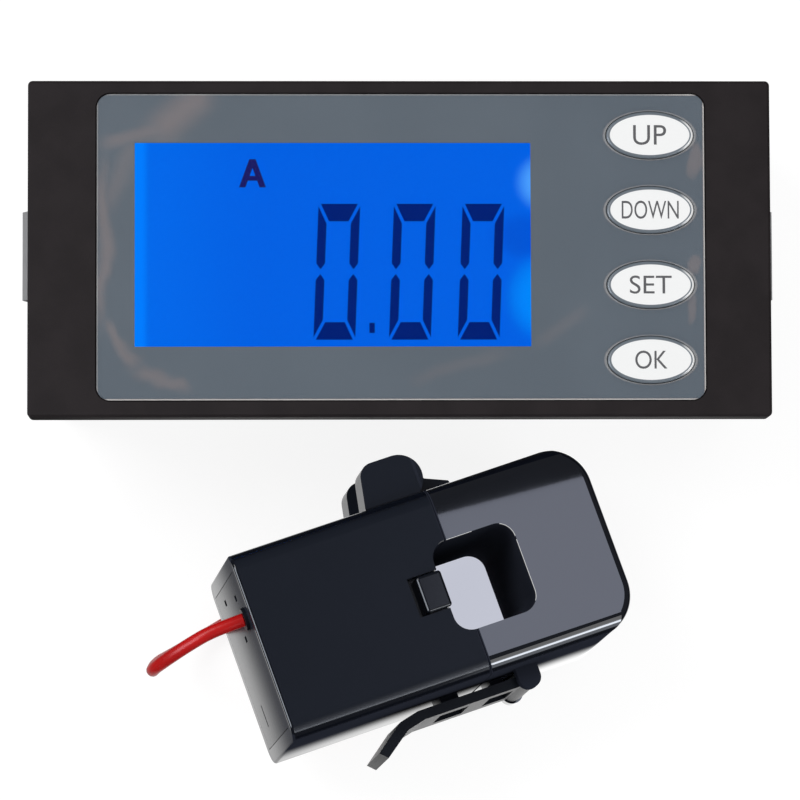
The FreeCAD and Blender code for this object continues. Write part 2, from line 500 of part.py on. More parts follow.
def housing():
    z0 = COVER_T
    shell = slab(0, 0, HOUSING_W, HOUSING_H, z0, SEAT_Z, HOUSING_R)
    shell = shell.cut(slab(0, 0, HOUSING_W - 2 * WALL, HOUSING_H - 2 * WALL, z0, SEAT_Z, CAVITY_R))
    adds = []
    cuts = []
    for side in (-1, 1):
        inner = sorted((side * (POCKET_X - POCKET_WALL), side * HOUSING_W / 2))
        half = POCKET_H / 2
        adds.append(box(*inner, -half - POCKET_WALL, half + POCKET_WALL, z0, SEAT_Z))
        hollow = sorted((side * POCKET_X, side * HOUSING_W))
        cuts.append(box(*hollow, -half, half, z0 + WALL / 2, SEAT_Z))
    for at in four(BOSS_X, BOSS_Y):
        side = math.copysign(1, at.x)
        wall_x = sorted((at.x, side * (HOUSING_W / 2 - WALL / 2)))
        adds.append(box(*wall_x, at.y - BOSS_R, at.y + BOSS_R, z0, POWER_Z))
        adds.append(rod(BOSS_R, at + Vector(0, 0, z0), Vector(0, 0, POWER_Z - z0)))
        cuts.append(rod(CASE_SCREW_R + SCREW_FIT, at + Vector(0, 0, z0), Vector(0, 0, CASE_SCREW_L)))
    pin_x = HOUSING_W / 2 - CLIP_PIN_INSET
    reach = POCKET_H / 2 + POCKET_WALL
    for side in (-1, 1):
        cuts.append(rod(CLIP_PIN_R, Vector(side * pin_x, -reach, CLIP_PIN_Z), Vector(0, 2 * reach, 0)))
    for side in (-1, 1):
        for i in range(VENT_COUNT):
            x = (i - (VENT_COUNT - 1) / 2) * VENT_PITCH
            y = side * HOUSING_H / 2
            cuts.append(box(x - VENT_W / 2, x + VENT_W / 2, y - WALL, y + WALL, VENT_Z, VENT_Z + VENT_L))
    door_z1 = CAGE_BACK + CAGE_T + CAGE_WINDOW + DOOR_SPARE
    door_w = BLOCK_W / 2 - BLOCK_END
    cuts.append(box(-door_w, door_w, HOUSING_H / 2 - WALL, HOUSING_H, z0 + WALL, door_z1))
    return joined([shell] + adds).cut(cuts)


def back_cover():
    plate = slab(0, 0, HOUSING_W, HOUSING_H, 0, COVER_T, HOUSING_R)
    gap = BLOCK_FIT
    window = box(-BLOCK_W / 2 - gap, BLOCK_W / 2 + gap, BLOCK_Y0 - gap, BLOCK_Y1 + gap, 0, COVER_T)
    cuts = [window]
    for at in four(BOSS_X, BOSS_Y):
        cuts.append(rod(CASE_SCREW_R + SCREW_PLAY, at, Vector(0, 0, COVER_T)))
        cuts.append(rod(CASE_HEAD_R + SCREW_PLAY, at, Vector(0, 0, CASE_HEAD_T + HEAD_SINK)))
    return plate.cut(cuts)


def bar_z():
    """Where the fixed contact bar lies in an open cage's window."""
    return CAGE_BACK + CAGE_T + BAR_PLAY


def bar_leg_y():
    """The side of the bar's leg that faces the cage."""
    return CAGE_Y - CAGE_H / 2 - 2 * CAGE_FIT - BAR_LEG_GAP


def terminal_block():
    z0, z1 = BLOCK_INSET, POWER_Z
    body = box(-BLOCK_W / 2, BLOCK_W / 2, BLOCK_Y0, BLOCK_Y1, z0, z1)
    head_z1 = z0 + T_HEAD_SINK + T_HEAD_T
    cage_z0 = head_z1 + T_SEAT_T
    cage_z1 = CAGE_BACK + 2 * CAGE_T + CAGE_WINDOW + CAGE_FIT
    half_w, half_h = CAGE_W / 2 + CAGE_FIT, CAGE_H / 2 + CAGE_FIT
    leg_x, leg_y = BAR_W / 2 + BAR_FIT, bar_leg_y() - BAR_T - BAR_FIT
    wire_z = CAGE_BACK + CAGE_T + CAGE_WINDOW - WIRE_R
    cuts = []
    for x in WAY_XS:
        foot = Vector(x, CAGE_Y, z0)
        cuts.append(rod(T_HEAD_R + T_HEAD_PLAY, foot, Vector(0, 0, head_z1 - z0)))
        cuts.append(rod(T_SHANK_R + T_SHANK_PLAY, foot, Vector(0, 0, cage_z0 - z0)))
        cuts.append(box(x - half_w, x + half_w, CAGE_Y - half_h, CAGE_Y + half_h, cage_z0, cage_z1))
        cuts.append(rod(WIRE_R, Vector(x, CAGE_Y, wire_z), Vector(0, BLOCK_Y1 - CAGE_Y, 0)))
        cuts.append(box(x - leg_x, x + leg_x, leg_y, CAGE_Y, bar_z() - BAR_FIT, z1))
    return body.cut(cuts)


def contact_bar(x):
    """A flat bar in the cage's window, with a leg up to the board."""
    low, leg_y = bar_z(), bar_leg_y()
    half = BAR_W / 2
    flat = box(x - half, x + half, leg_y - BAR_T, CAGE_Y + CAGE_H / 2 - BAR_IN, low, low + BAR_T)
    leg = box(x - half, x + half, leg_y - BAR_T, leg_y, low, POWER_Z)
    return joined([flat, leg])


def clamp_cage(x):
    """A square loop that rises with its screw and presses the wire against the bar."""
    half_w, half_h, top = CAGE_W / 2, CAGE_H / 2, CAGE_BACK + 2 * CAGE_T + CAGE_WINDOW
    cage = box(x - half_w, x + half_w, CAGE_Y - half_h, CAGE_Y + half_h, CAGE_BACK, top)
    side = half_w - CAGE_T
    floor, roof = CAGE_BACK + CAGE_T, top - CAGE_T
    window = box(x - side, x + side, CAGE_Y - CAGE_H, CAGE_Y + CAGE_H, floor, roof)
    thread = rod(T_SHANK_R + T_FIT, Vector(x, CAGE_Y, CAGE_BACK), Vector(0, 0, CAGE_T))
    return cage.cut([window, thread])


def terminal_screw(x):
    """A slotted screw whose head faces the back."""
    foot = Vector(x, CAGE_Y, BLOCK_INSET + T_HEAD_SINK)
    seat = foot + Vector(0, 0, T_HEAD_T)
    head = rod(T_HEAD_R, foot, Vector(0, 0, T_HEAD_T))
    shank = rod(T_SHANK_R, seat, Vector(0, 0, bar_z() - T_TIP_GAP - seat.z))
    half = SLOT_W / 2
    slot = box(x - T_HEAD_R, x + T_HEAD_R, CAGE_Y - half, CAGE_Y + half, foot.z, foot.z + SLOT_DEPTH)
    return joined([head, shank]).cut(slot)


def terminal_parts():
    save("terminal_block", terminal_block())
    save("terminal_bars", *[contact_bar(x) for x in WAY_XS])
    for i, x in enumerate(WAY_XS, 1):
        save(f"clamp_cage_{i}", clamp_cage(x))
        save(f"terminal_screw_{i}", terminal_screw(x))


def clip(side):
    """A bent steel leaf that turns on a pin in the housing's side and bulges past the bezel's edge."""
    pin_x = HOUSING_W / 2 - CLIP_PIN_INSET
    eye_r = CLIP_PIN_R + CLIP_PIN_FIT + CLIP_T
    eye_out = rod(eye_r, Vector(pin_x, -CLIP_H / 2, CLIP_PIN_Z), Vector(0, CLIP_H, 0))
    knee_x = FACE_W / 2 + CLIP_PROUD
    top_x = FACE_W / 2 - CLIP_TOP_INSET
    t = CLIP_T
    foot_z = CLIP_PIN_Z + CLIP_FOOT_RISE
    points = [(pin_x + eye_r - t, 0, CLIP_PIN_Z), (pin_x + eye_r, 0, foot_z), (knee_x, 0, CLIP_KNEE_Z)]
    points += [(top_x, 0, CLIP_TOP_Z), (top_x - t, 0, CLIP_TOP_Z - CLIP_TIP_DROP)]
    points.append((knee_x - t, 0, CLIP_KNEE_Z))
    points = [(x, -CLIP_H / 2, z) for x, _, z in points]
    leaf = prism(points, Vector(0, CLIP_H, 0))
    bore_r = CLIP_PIN_R + CLIP_PIN_FIT
    bore = rod(bore_r, Vector(pin_x, -CLIP_H, CLIP_PIN_Z), Vector(0, 2 * CLIP_H, 0))
    made = joined([eye_out, leaf]).cut(bore)
    return made if side > 0 else made.rotated(Vector(0, 0, 0), Vector(0, 0, 1), 180)


def clip_pins():
    x = HOUSING_W / 2 - CLIP_PIN_INSET
    reach = POCKET_H / 2 + POCKET_WALL
    return [rod(CLIP_PIN_R, Vector(s * x, -reach, CLIP_PIN_Z), Vector(0, 2 * reach, 0)) for s in (-1, 1)]


def meter():
    save("bezel", bezel())
    save("front_label", front_label())
    save("protective_film", protective_film())
    save("display_lens", display_lens())
    display_parts()
    for name, y in zip(KEY_NAMES, KEY_YS):
        save(name, key(y))
    save("tact_switches", *tact_switches())
    main_board_parts()
    power_board_parts()
    save("housing", housing())
    save("back_cover", back_cover())
    one = screw(CASE_SCREW_R, CASE_SCREW_L, CASE_HEAD_R, CASE_HEAD_T, CASE_HEAD_T + HEAD_SINK)
    save("case_screws", *[one.translated(at) for at in four(BOSS_X, BOSS_Y)])
    terminal_parts()
    save("left_clip", clip(-1))
    save("right_clip", clip(1))
    save("clip_pins", *clip_pins())


# Sensor, each piece in the sensor's own frame


def through(outline, w0, w1):
    return prism([(u, v, w0) for u, v in outline], Vector(0, 0, w1 - w0))


def sensor_block():
    """The closed outside of both shells: large corners at the cap's end, soft long edges."""
    plan = box(0, SENSOR_L, 0, SENSOR_W, 0, SENSOR_T)
    upright = []
    for e in plan.Edges:
        if e.BoundBox.ZLength > 1 and e.BoundBox.XMin > SENSOR_L - 0.1:
            upright.append(e)
    plan = plan.makeFillet(CAP_ROUND, upright)
    rims = []
    for e in plan.Edges:
        flat = e.BoundBox.ZLength < 0.1
        if flat and e.BoundBox.XMax > END_ROUND + 0.1:
            rims.append(e)
    plan = plan.makeFillet(RIM_ROUND, rims)
    bar_shape = box(0, SENSOR_L, 0, SENSOR_W, 0, SENSOR_T)
    long_edges = [e for e in bar_shape.Edges if e.BoundBox.XLength > 1]
    block = plan.common(bar_shape.makeFillet(EDGE_ROUND, long_edges))
    wire_end = [e for e in block.Edges if e.BoundBox.XMax < END_ROUND]
    return block.makeFillet(END_ROUND, wire_end)


def end_plate():
    """The plate that closes the wire end: the lead's hole, four blind notches and a blind slit."""
    plate = box(0, END_PLATE_T, END_RIM, SENSOR_W - END_RIM, END_RIM, SENSOR_T - END_RIM)
    cuts = [rod(GROMMET_R + LEAD_FIT, Vector(0, LEAD_V, LEAD_W), Vector(END_PLATE_T, 0, 0))]
    for v, w in END_NOTCHES:
        half_v, half_w = END_NOTCH_V / 2, END_NOTCH_W / 2
        cuts.append(box(0, END_NOTCH_DEPTH, v - half_v, v + half_v, w - half_w, w + half_w))
    half = END_SLIT_T / 2
    cuts.append(box(0, END_NOTCH_DEPTH, *END_SLIT_V, END_SLIT_W - half, END_SLIT_W + half))
    return plate.cut(cuts)


def window_cut(grow, r):
    """The hole that the conductor runs through."""
    cu, cv = (HOLE_U0 + HOLE_U1) / 2, (HOLE_V0 + HOLE_V1) / 2
    w, h = HOLE_U1 - HOLE_U0 + 2 * grow, HOLE_V1 - HOLE_V0 + 2 * grow
    return slab(cu, cv, w, h, 0, SENSOR_T, r)


def core_legs(u0, u1, grow):
    w0, w1 = CORE_W0 - grow, CORE_W1 + grow
    return [box(u0, u1, v[0] - grow, v[1] + grow, w0, w1) for v in (CORE_LOW_V, CORE_HIGH_V)]


def knuckle(w, r=HINGE_R):
    return rod(r, Vector(HINGE_U, HINGE_V, w[0]), Vector(0, 0, w[1] - w[0]))


def hinge_pin_hole(grow):
    """The pin's place, open below and covered at the top."""
    w0, w1 = KNUCKLES_W[0][0], KNUCKLES_W[-1][1] - PIN_COVER
    return rod(HINGE_PIN_R + grow, Vector(HINGE_U, HINGE_V, w0), Vector(0, 0, w1 - w0))


def base_shell(block):
    t = SHELL_T
    half = box(0, SPLIT_U - SPLIT_GAP / 2, 0, SENSOR_W, 0, SENSOR_T)
    inside = box(END_PLATE_T, SPLIT_U - t, t, SENSOR_W - t, t, SENSOR_T - t)
    inside = inside.cut(window_cut(HOLE_WALL, HOLE_R + HOLE_WALL))
    hollow_end = box(HOLE_U0 - HOLE_WALL, SPLIT_U, HOLE_V0 - HOLE_WALL, HOLE_V1 + HOLE_WALL, 0, SENSOR_T)
    inside = inside.cut(hollow_end)
    rim = END_RIM - END_FIT
    mouth = box(0, END_PLATE_T, rim, SENSOR_W - rim, rim, SENSOR_T - rim)
    lobes = []
    for w in (KNUCKLES_W[0], KNUCKLES_W[2]):
        top_v = HINGE_V + HINGE_R
        tail = [(LOBE_TAIL_U, SENSOR_W - t), (LOBE_HEAD_U, top_v), (HINGE_U, top_v)]
        tail += [(HINGE_U, HINGE_V), (HINGE_U + LOBE_FOOT, SENSOR_W - t)]
        lobe = through(tail, *w)
        head = [e for e in lobe.Edges if e.BoundBox.ZLength > 1 and e.BoundBox.XMax < LOBE_HEAD_U + 0.1]
        head = [e for e in head if e.BoundBox.YMin > HINGE_V]
        lobes += [knuckle(w), lobe.makeFillet(LOBE_HEAD_R, head)]
    catch_w = (STRAP_SLOT_W[0] + CATCH_SIDE, STRAP_SLOT_W[1] - CATCH_SIDE)
    catch = box(STRAP_SLOTS[0][0] + CATCH_FIT, STRAP_SLOTS[0][1] - CATCH_FIT, CATCH_V, t, *catch_w)
    body = joined([block.common(half)] + lobes + [catch])
    cuts = [inside, mouth, window_cut(0, HOLE_R), hinge_pin_hole(0)]
    cuts += core_legs(SPLIT_U - t - CORE_POCKET_PAST, SPLIT_U, CORE_POCKET_FIT)
    room = (KNUCKLES_W[0][1], KNUCKLES_W[2][0])
    cuts.append(knuckle(room, HINGE_R + KNUCKLE_CLEAR))
    u0, u1 = TONGUE_U
    v0, v1 = TONGUE_V
    low = SENSOR_T - TONGUE_DEPTH
    cuts.append(box(u0 - TONGUE_SLIT, HOLE_U0, v0 - TONGUE_GAP, v1 + TONGUE_GAP, low, SENSOR_T))
    body = body.cut(cuts)
    floor_u = (u0 - TONGUE_SLIT - TONGUE_FLOOR_U, HOLE_U0 - HOLE_WALL + TONGUE_FLOOR_LAP)
    floor = box(*floor_u, v0 - TONGUE_FLOOR_V, v1 + TONGUE_FLOOR_V, low - TONGUE_FLOOR_T, low)
    return joined([body, floor])


def cap_shell(block):
    t = SHELL_T
    half = box(SPLIT_U + SPLIT_GAP / 2, SENSOR_L, 0, SENSOR_W, 0, SENSOR_T)
    u0, u1 = SPLIT_U + t, SENSOR_L - t
    inside = slab((u0 + u1) / 2, SENSOR_W / 2, u1 - u0, SENSOR_W - 2 * t, t, SENSOR_T - t)
    corners = []
    for e in inside.Edges:
        if e.BoundBox.ZLength > 1 and e.BoundBox.XMin > u1 - 0.1:
            corners.append(e)
    inside = inside.makeFillet(CAP_ROUND - t, corners)
    around = box(SPLIT_U, HOLE_U1 + HOLE_WALL, HOLE_V0 - HOLE_WALL, HOLE_V1 + HOLE_WALL, 0, SENSOR_T)
    inside = inside.cut(around)
    middle = KNUCKLES_W[1]
    arm_v = SENSOR_W + ARM_T
    arm = [(HINGE_U, HINGE_V - ARM_FOOT), (HINGE_U + HINGE_R * TOUCH_U, HINGE_V + HINGE_R * TOUCH_V)]
    arm += [(SPLIT_U + ARM_BEND_U, arm_v + ARM_BEND_V), (ARM_END_U, arm_v - ARM_DROP)]
    arm += [(ARM_END_U + ARM_SLOPE, SENSOR_W - t)]
    arm += [(SPLIT_U + SPLIT_GAP / 2, SENSOR_W - t), (SPLIT_U + SPLIT_GAP / 2, SENSOR_W)]
    ear_low = (STRAP_W[0] - EAR_GAP - EAR_T, STRAP_W[0] - EAR_GAP)
    ear_high = (STRAP_W[1] + EAR_GAP, STRAP_W[1] + EAR_GAP + EAR_T)
    pivot_v = STRAP_V - STRAP_T / 2
    ears = []
    for w in (ear_low, ear_high):
        ears.append(rod(EAR_R, Vector(STRAP_PIVOT_U, pivot_v, w[0]), Vector(0, 0, EAR_T)))
        ears.append(box(STRAP_PIVOT_U - EAR_R, STRAP_PIVOT_U + EAR_R, pivot_v, t, *w))
    boss_w = (STRAP_SLOT_W[0] + CATCH_SIDE, STRAP_SLOT_W[1] - CATCH_SIDE)
    boss = box(STRAP_SLOTS[1][0] + CATCH_FIT, STRAP_SLOTS[1][1] - CATCH_FIT, CATCH_V, t, *boss_w)
    body = joined([block.common(half), knuckle(middle), through(arm, *middle), boss] + ears)
    cuts = [inside, window_cut(0, HOLE_R), hinge_pin_hole(HINGE_FIT), latch_pin()]
    cuts += core_legs(SPLIT_U, SPLIT_U + t + CORE_POCKET_PAST, CORE_POCKET_FIT)
    return body.cut(cuts)


def latch_pin():
    """The pin through both ears, covered at the top."""
    out = EAR_GAP + EAR_T
    foot = Vector(STRAP_PIVOT_U, STRAP_V - STRAP_T / 2, STRAP_W[0] - out)
    return rod(STRAP_PIN_R, foot, Vector(0, 0, STRAP_W[1] - STRAP_W[0] + 2 * out - PIN_COVER))


def u_core(leg_u, tip_u):
    """A U-shaped core half: two legs that end at tip_u and a bridge across leg_u."""
    bridge = box(*leg_u, CORE_LOW_V[0], CORE_HIGH_V[1], CORE_W0, CORE_W1)
    ends = sorted((leg_u[0] if tip_u > leg_u[0] else leg_u[1], tip_u))
    return joined([bridge] + core_legs(*ends, 0))


def bobbin_parts():
    u0, u1 = BASE_LEG_U
    fit, t = BOBBIN_FIT, BOBBIN_T
    hole = box(u0 - fit, u1 + fit, 0, SENSOR_W, CORE_W0 - fit, CORE_W1 + fit)
    tube = box(u0 - fit - t, u1 + fit + t, BOBBIN_V0, BOBBIN_V1, CORE_W0 - fit - t, CORE_W1 + fit + t)
    side = fit + t + BOBBIN_CHEEK
    cheeks = []
    for v in (BOBBIN_V0, BOBBIN_V1 - t):
        cheeks.append(box(u0 - side, u1 + side, v, v + t, CORE_W0 - side, CORE_W1 + side))
    save_turned("sensor_bobbin", joined([tube] + cheeks).cut(hole))
    out = side - COPPER_LOW
    bundle = box(u0 - out, u1 + out, BOBBIN_V0 + t, BOBBIN_V1 - t, CORE_W0 - out, CORE_W1 + out)
    upright = [e for e in bundle.Edges if e.BoundBox.YLength > 1]
    bundle = bundle.makeFillet(COPPER_EDGE, upright)
    save_turned("sensor_winding", bundle.cut(tube))


def latch_strap():
    """A strap whose slot catches on the base shell, with a tail to lift it by."""
    v0, v1 = STRAP_V - STRAP_T, STRAP_V
    mid_v = (v0 + v1) / 2
    knee_u, shift, tip = STRAP_TAIL_U - STRAP_KNEE_U, STRAP_KNEE_SHIFT, STRAP_TIP_HALF
    outline = [(STRAP_PIVOT_U, v0), (STRAP_PIVOT_U, v1), (STRAP_TAIL_U, v1)]
    outline += [(knee_u, v1 - STRAP_KNEE_V), (STRAP_TIP_U - tip, STRAP_TIP_V + tip)]
    outline += [(STRAP_TIP_U + tip, STRAP_TIP_V - tip)]
    outline += [(knee_u + shift, v0 - STRAP_KNEE_V), (STRAP_TAIL_U + shift, v0)]
    strap = through(outline, *STRAP_W)
    pivot, across = Vector(STRAP_PIVOT_U, mid_v, STRAP_W[0]), Vector(0, 0, STRAP_W[1] - STRAP_W[0])
    eye = rod(STRAP_PIVOT_R, pivot, across)
    slots = [box(u0, u1, v0 - 1, v1 + 1, *STRAP_SLOT_W) for u0, u1 in STRAP_SLOTS]
    bore = rod(STRAP_PIN_R + HINGE_FIT, pivot, across)
    return joined([strap, eye]).cut(slots + [bore])


def core_spring():
    """A bowed leaf between the cap's end wall and the core that it presses on."""
    u0, u1 = CAP_LEG_U[1], SENSOR_L - SHELL_T
    mid, flat, reach = SENSOR_W / 2, SPRING_FLAT / 2, SPRING_SPAN / 2
    leaf = [(u0, mid - flat), (u0, mid + flat), (u1 - SPRING_T, mid + reach), (u1, mid + reach)]
    leaf += [(u1, mid + reach - 2 * SPRING_T), (u0 + SPRING_T, mid + flat - SPRING_T)]
    leaf += [(u0 + SPRING_T, mid - flat + SPRING_T), (u1, mid - reach + 2 * SPRING_T)]
    leaf += [(u1, mid - reach), (u1 - SPRING_T, mid - reach)]
    return through(leaf, *SPRING_W)


def sensor_pieces():
    block = sensor_block()
    save_turned("sensor_base_shell", base_shell(block))
    save_turned("sensor_cap_shell", cap_shell(block))
    save_turned("sensor_end_plate", end_plate())
    save_turned("base_core", u_core(BASE_LEG_U, SPLIT_U - CORE_GAP))
    save_turned("cap_core", u_core(CAP_LEG_U, SPLIT_U + CORE_GAP))
    save_turned("core_spring", core_spring())
    bobbin_parts()
    board_u = BASE_LEG_U[0] - BOBBIN_FIT - BOBBIN_T - BOBBIN_CHEEK
    save_turned("burden_board", box(board_u - BURDEN_T, board_u, *BURDEN_V, *BURDEN_W))
    save_turned("hinge_pin", hinge_pin_hole(0))
    save_turned("latch_strap", latch_strap())
    save_turned("latch_pin", latch_pin())
    top = SENSOR_T + TONGUE_RISE
    tongue = box(*TONGUE_U, *TONGUE_V, SENSOR_T - TONGUE_DEPTH, top)
    upper = [e for e in tongue.Edges if e.BoundBox.ZMin > top - 0.01 or e.BoundBox.ZLength > 1]
    save_turned("window_tongue", tongue.makeFillet(TONGUE_EDGE, upper))
    sleeve = rod(GROMMET_R, Vector(-GROMMET_LIP, LEAD_V, LEAD_W), Vector(GROMMET_L, 0, 0))
    lead_bore = rod(LEAD_D / 2, Vector(-GROMMET_LIP, LEAD_V, LEAD_W), Vector(GROMMET_L, 0, 0))
    save_turned("lead_grommet", sleeve.cut(lead_bore))


def save_turned(name, shape):
    shape = shape.copy()
    shape.Placement = SENSOR_PLACE.multiply(shape.Placement)
    return save(name, shape)


def rest_height():
    """How far up the turned sensor goes for its lowest point to touch the table."""
    stood = sensor_block()
    stood.Placement = Placement(Vector(0, 0, 0), Rotation(SENSOR_YAW, SENSOR_PITCH, SENSOR_ROLL))
    return -stood.optimalBoundingBox(False).ZMin


# Lead and coil


def arc_from(a, b, tangent):
    """The circular arc from a to b that leaves a along tangent."""
    chord = b - a
    along = Vector(chord).normalize()
    aside = tangent - along * tangent.dot(along)
    if aside.Length < 1e-9:
        return Part.LineSegment(a, b).toShape()
    half_turn = math.atan2(aside.Length, tangent.dot(along))
    rise = chord.Length / 2 * math.tan(half_turn / 2)
    middle = (a + b) * 0.5 + aside.normalize() * rise
    return Part.Arc(a, middle, b).toShape()


def biarc(p, p_dir, q, q_dir):
    """Two arcs that join p to q smoothly, each leaving along its own direction."""
    gap = q - p
    s = p_dir + q_dir
    a, b, c = 2 * (p_dir.dot(q_dir) - 1), -2 * gap.dot(s), gap.dot(gap)
    root = math.sqrt(b * b - 4 * a * c)
    d = min(x for x in ((-b + root) / (2 * a), (-b - root) / (2 * a)) if x > 0)
    first, second = p + p_dir * d, q - q_dir * d
    joint = (first + second) * 0.5
    return [arc_from(p, joint, p_dir), arc_from(joint, q, (second - first).normalize())]


def coil_at(turn):
    """The coil's centreline after so many turns, and its direction there."""
    r_out = COIL_MID_R + COIL_PITCH * COIL_IN / 2
    r_in = r_out - COIL_PITCH * COIL_IN
    z0 = COIL_FOOT + LEAD_D / 2

    def place(t):
        if t < COIL_IN:
            r, up = r_out - COIL_PITCH * t, 0.0
        elif t < COIL_IN + COIL_CLIMB:
            share = (t - COIL_IN) / COIL_CLIMB
            r = r_in - COIL_PITCH * COIL_CLIMB / math.pi * math.sin(math.pi * share)
            up = (1 - math.cos(math.pi * share)) / 2
        else:
            r, up = r_in + COIL_PITCH * (t - COIL_IN - COIL_CLIMB), 1.0
        angle = math.radians(COIL_START_DEG) - 2 * math.pi * t
        return Vector(COIL_X + r * math.cos(angle), COIL_Y + r * math.sin(angle), z0 + COIL_LAYER * up)

    step = 1e-5
    return place(turn), (place(turn + step) - place(turn - step)).normalize()


def tube(edges, start, direction, r=LEAD_D / 2):
    ring = Part.Wire(Part.Circle(start, direction, r).toShape())
    return Part.Wire(edges).makePipeShell([ring], True, False)


def coil():
    total = COIL_IN + COIL_CLIMB + COIL_OUT
    quarters = round(total * 4)
    knots = [coil_at(total * i / quarters) for i in range(quarters + 1)]
    edges = []
    for (p, p_dir), (q, q_dir) in zip(knots, knots[1:]):
        edges += biarc(p, p_dir, q, q_dir)
    end, end_dir = knots[-1]
    edges.append(Part.LineSegment(end, end + end_dir * COIL_TAIL).toShape())
    first, first_dir = knots[0]
    samples = [coil_at(total * i / SAMPLES)[0] for i in range(SAMPLES + 1)]
    least = min(a.distanceToPoint(b) for i, a in enumerate(samples) for b in samples[i + SAMPLES_APART :])
    print("coil: turns %.2f, least gap to itself %.2f mm" % (total, least - LEAD_D))
    print("coil length %.1f mm" % sum(e.Length for e in edges))
    return tube(edges, first, first_dir), end + end_dir * COIL_TAIL, end_dir


def walk(start, runs):
    """The points reached from start by runs of a length, a heading and a slope."""
    points = [start]
    for length, heading, slope in runs:
        flat = length * math.cos(math.radians(slope))
        turn = math.radians(heading)
        step = Vector(flat * math.cos(turn), flat * math.sin(turn), 0)
        step.z = length * math.sin(math.radians(slope))
        points.append(points[-1] + step)
    return points


def lead_route():
    """The free stretch: out of the grommet, down to the table, in to the coil."""
    start = SENSOR_PLACE.multVec(Vector(-GROMMET_LIP, LEAD_V, LEAD_W))
    return walk(start, LEAD_DOWN) + walk(coil_at(0)[0], LEAD_UP)[::-1]


def lead():
    """The tube along the route: straight runs joined by arcs as large as the runs allow."""
    points = lead_route()
    edges = []
    radii = []
    last = points[0]
    for a, b, c in zip(points, points[1:], points[2:]):
        before, after = (b - a), (c - b)
        turn = before.getAngle(after)
        cut = LEAD_BEND * min(before.Length, after.Length)
        radii.append(cut / math.tan(turn / 2))
        enter, leave = b - before.normalize() * cut, b + after.normalize() * cut
        edges.append(Part.LineSegment(last, enter).toShape())
        edges.append(arc_from(enter, leave, before))
        last = leave
    edges.append(Part.LineSegment(last, points[-1]).toShape())
    long = sum(e.Length for e in edges)
    made = tube(edges, points[0], points[1] - points[0])
    share = made.Volume / (math.pi * (LEAD_D / 2) ** 2 * long)
    print("lead: %.1f mm, radii" % long, [round(r, 1) for r in radii], "volume share %.3f" % share)
    for p in points:
        print("    (%.2f, %.2f, %.2f)," % tuple(p))
    return made


def lead_pieces():
    coiled, end, end_dir = coil()
    save("sensor_lead", lead())
    save("lead_coil", coiled)
    z0 = COIL_FOOT - TIE_FIT
    z1 = COIL_FOOT + LEAD_D + COIL_LAYER + TIE_FIT
    band = box(TIE_R0 - TIE_T, TIE_R1 + TIE_T, -TIE_W / 2, TIE_W / 2, z0 - TIE_T, z1 + TIE_T)
    band = band.cut(box(TIE_R0, TIE_R1, -TIE_W, TIE_W, z0, z1))
    band = band.rotated(Vector(0, 0, 0), Vector(0, 0, 1), TIE_DEG)
    save("coil_tie", band.translated(Vector(COIL_X, COIL_Y, 0)))
    collar = rod(FERRULE_COLLAR_R, end, end_dir * FERRULE_COLLAR_L)
    pin = rod(FERRULE_R, end, end_dir * (FERRULE_COLLAR_L + FERRULE_L))
    save("lead_ferrule", joined([collar, pin]))


os.makedirs("parts", exist_ok=True)
SENSOR_PLACE = Placement(
    Vector(SENSOR_X, SENSOR_Y, rest_height()),
    Rotation(SENSOR_YAW, SENSOR_PITCH, SENSOR_ROLL),
)
meter()
sensor_pieces()
lead_pieces()
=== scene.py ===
import math

import bpy
from mathutils import Euler, Matrix, Vector


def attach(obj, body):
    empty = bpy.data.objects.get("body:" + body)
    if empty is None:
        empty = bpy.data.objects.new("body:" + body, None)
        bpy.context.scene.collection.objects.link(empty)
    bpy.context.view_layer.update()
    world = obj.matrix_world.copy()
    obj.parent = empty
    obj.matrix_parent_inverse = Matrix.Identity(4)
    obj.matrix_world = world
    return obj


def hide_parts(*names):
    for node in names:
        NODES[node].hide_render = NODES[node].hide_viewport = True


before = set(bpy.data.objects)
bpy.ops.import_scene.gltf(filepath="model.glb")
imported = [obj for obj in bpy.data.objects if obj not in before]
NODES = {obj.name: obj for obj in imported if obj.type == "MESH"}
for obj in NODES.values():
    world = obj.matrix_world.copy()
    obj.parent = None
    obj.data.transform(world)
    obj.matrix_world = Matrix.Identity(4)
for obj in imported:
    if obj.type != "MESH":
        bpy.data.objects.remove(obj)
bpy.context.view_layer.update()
MM = 0.001

# Camera, placed as the photograph was taken: almost straight above, a little below the meter's middle
CAMERA_AT = Vector((-18.457, -77.175, 725.225)) * MM
CAMERA_TURN = (4.5, -1.5, -0.00342)
CAMERA_LENS, CAMERA_SENSOR = 212.8, 36.0

# The sensor's own frame: corner of its wire end, and how it stands
SENSOR_TURN = Euler([math.radians(a) for a in (-4.9, 8.8, 18.8)], "XYZ")
SENSOR_CORNER = Vector((-18.9, -76.3, 10.04)) * MM
HOLE_U, HOLE_V, SPLIT_U = (28.3, 41.2), (6.9, 20.8), 31.0
FACE_AT, LUGS_FROM, SEAM_HALF, BLUR = 27.95, 29.1, 0.2, 0.2

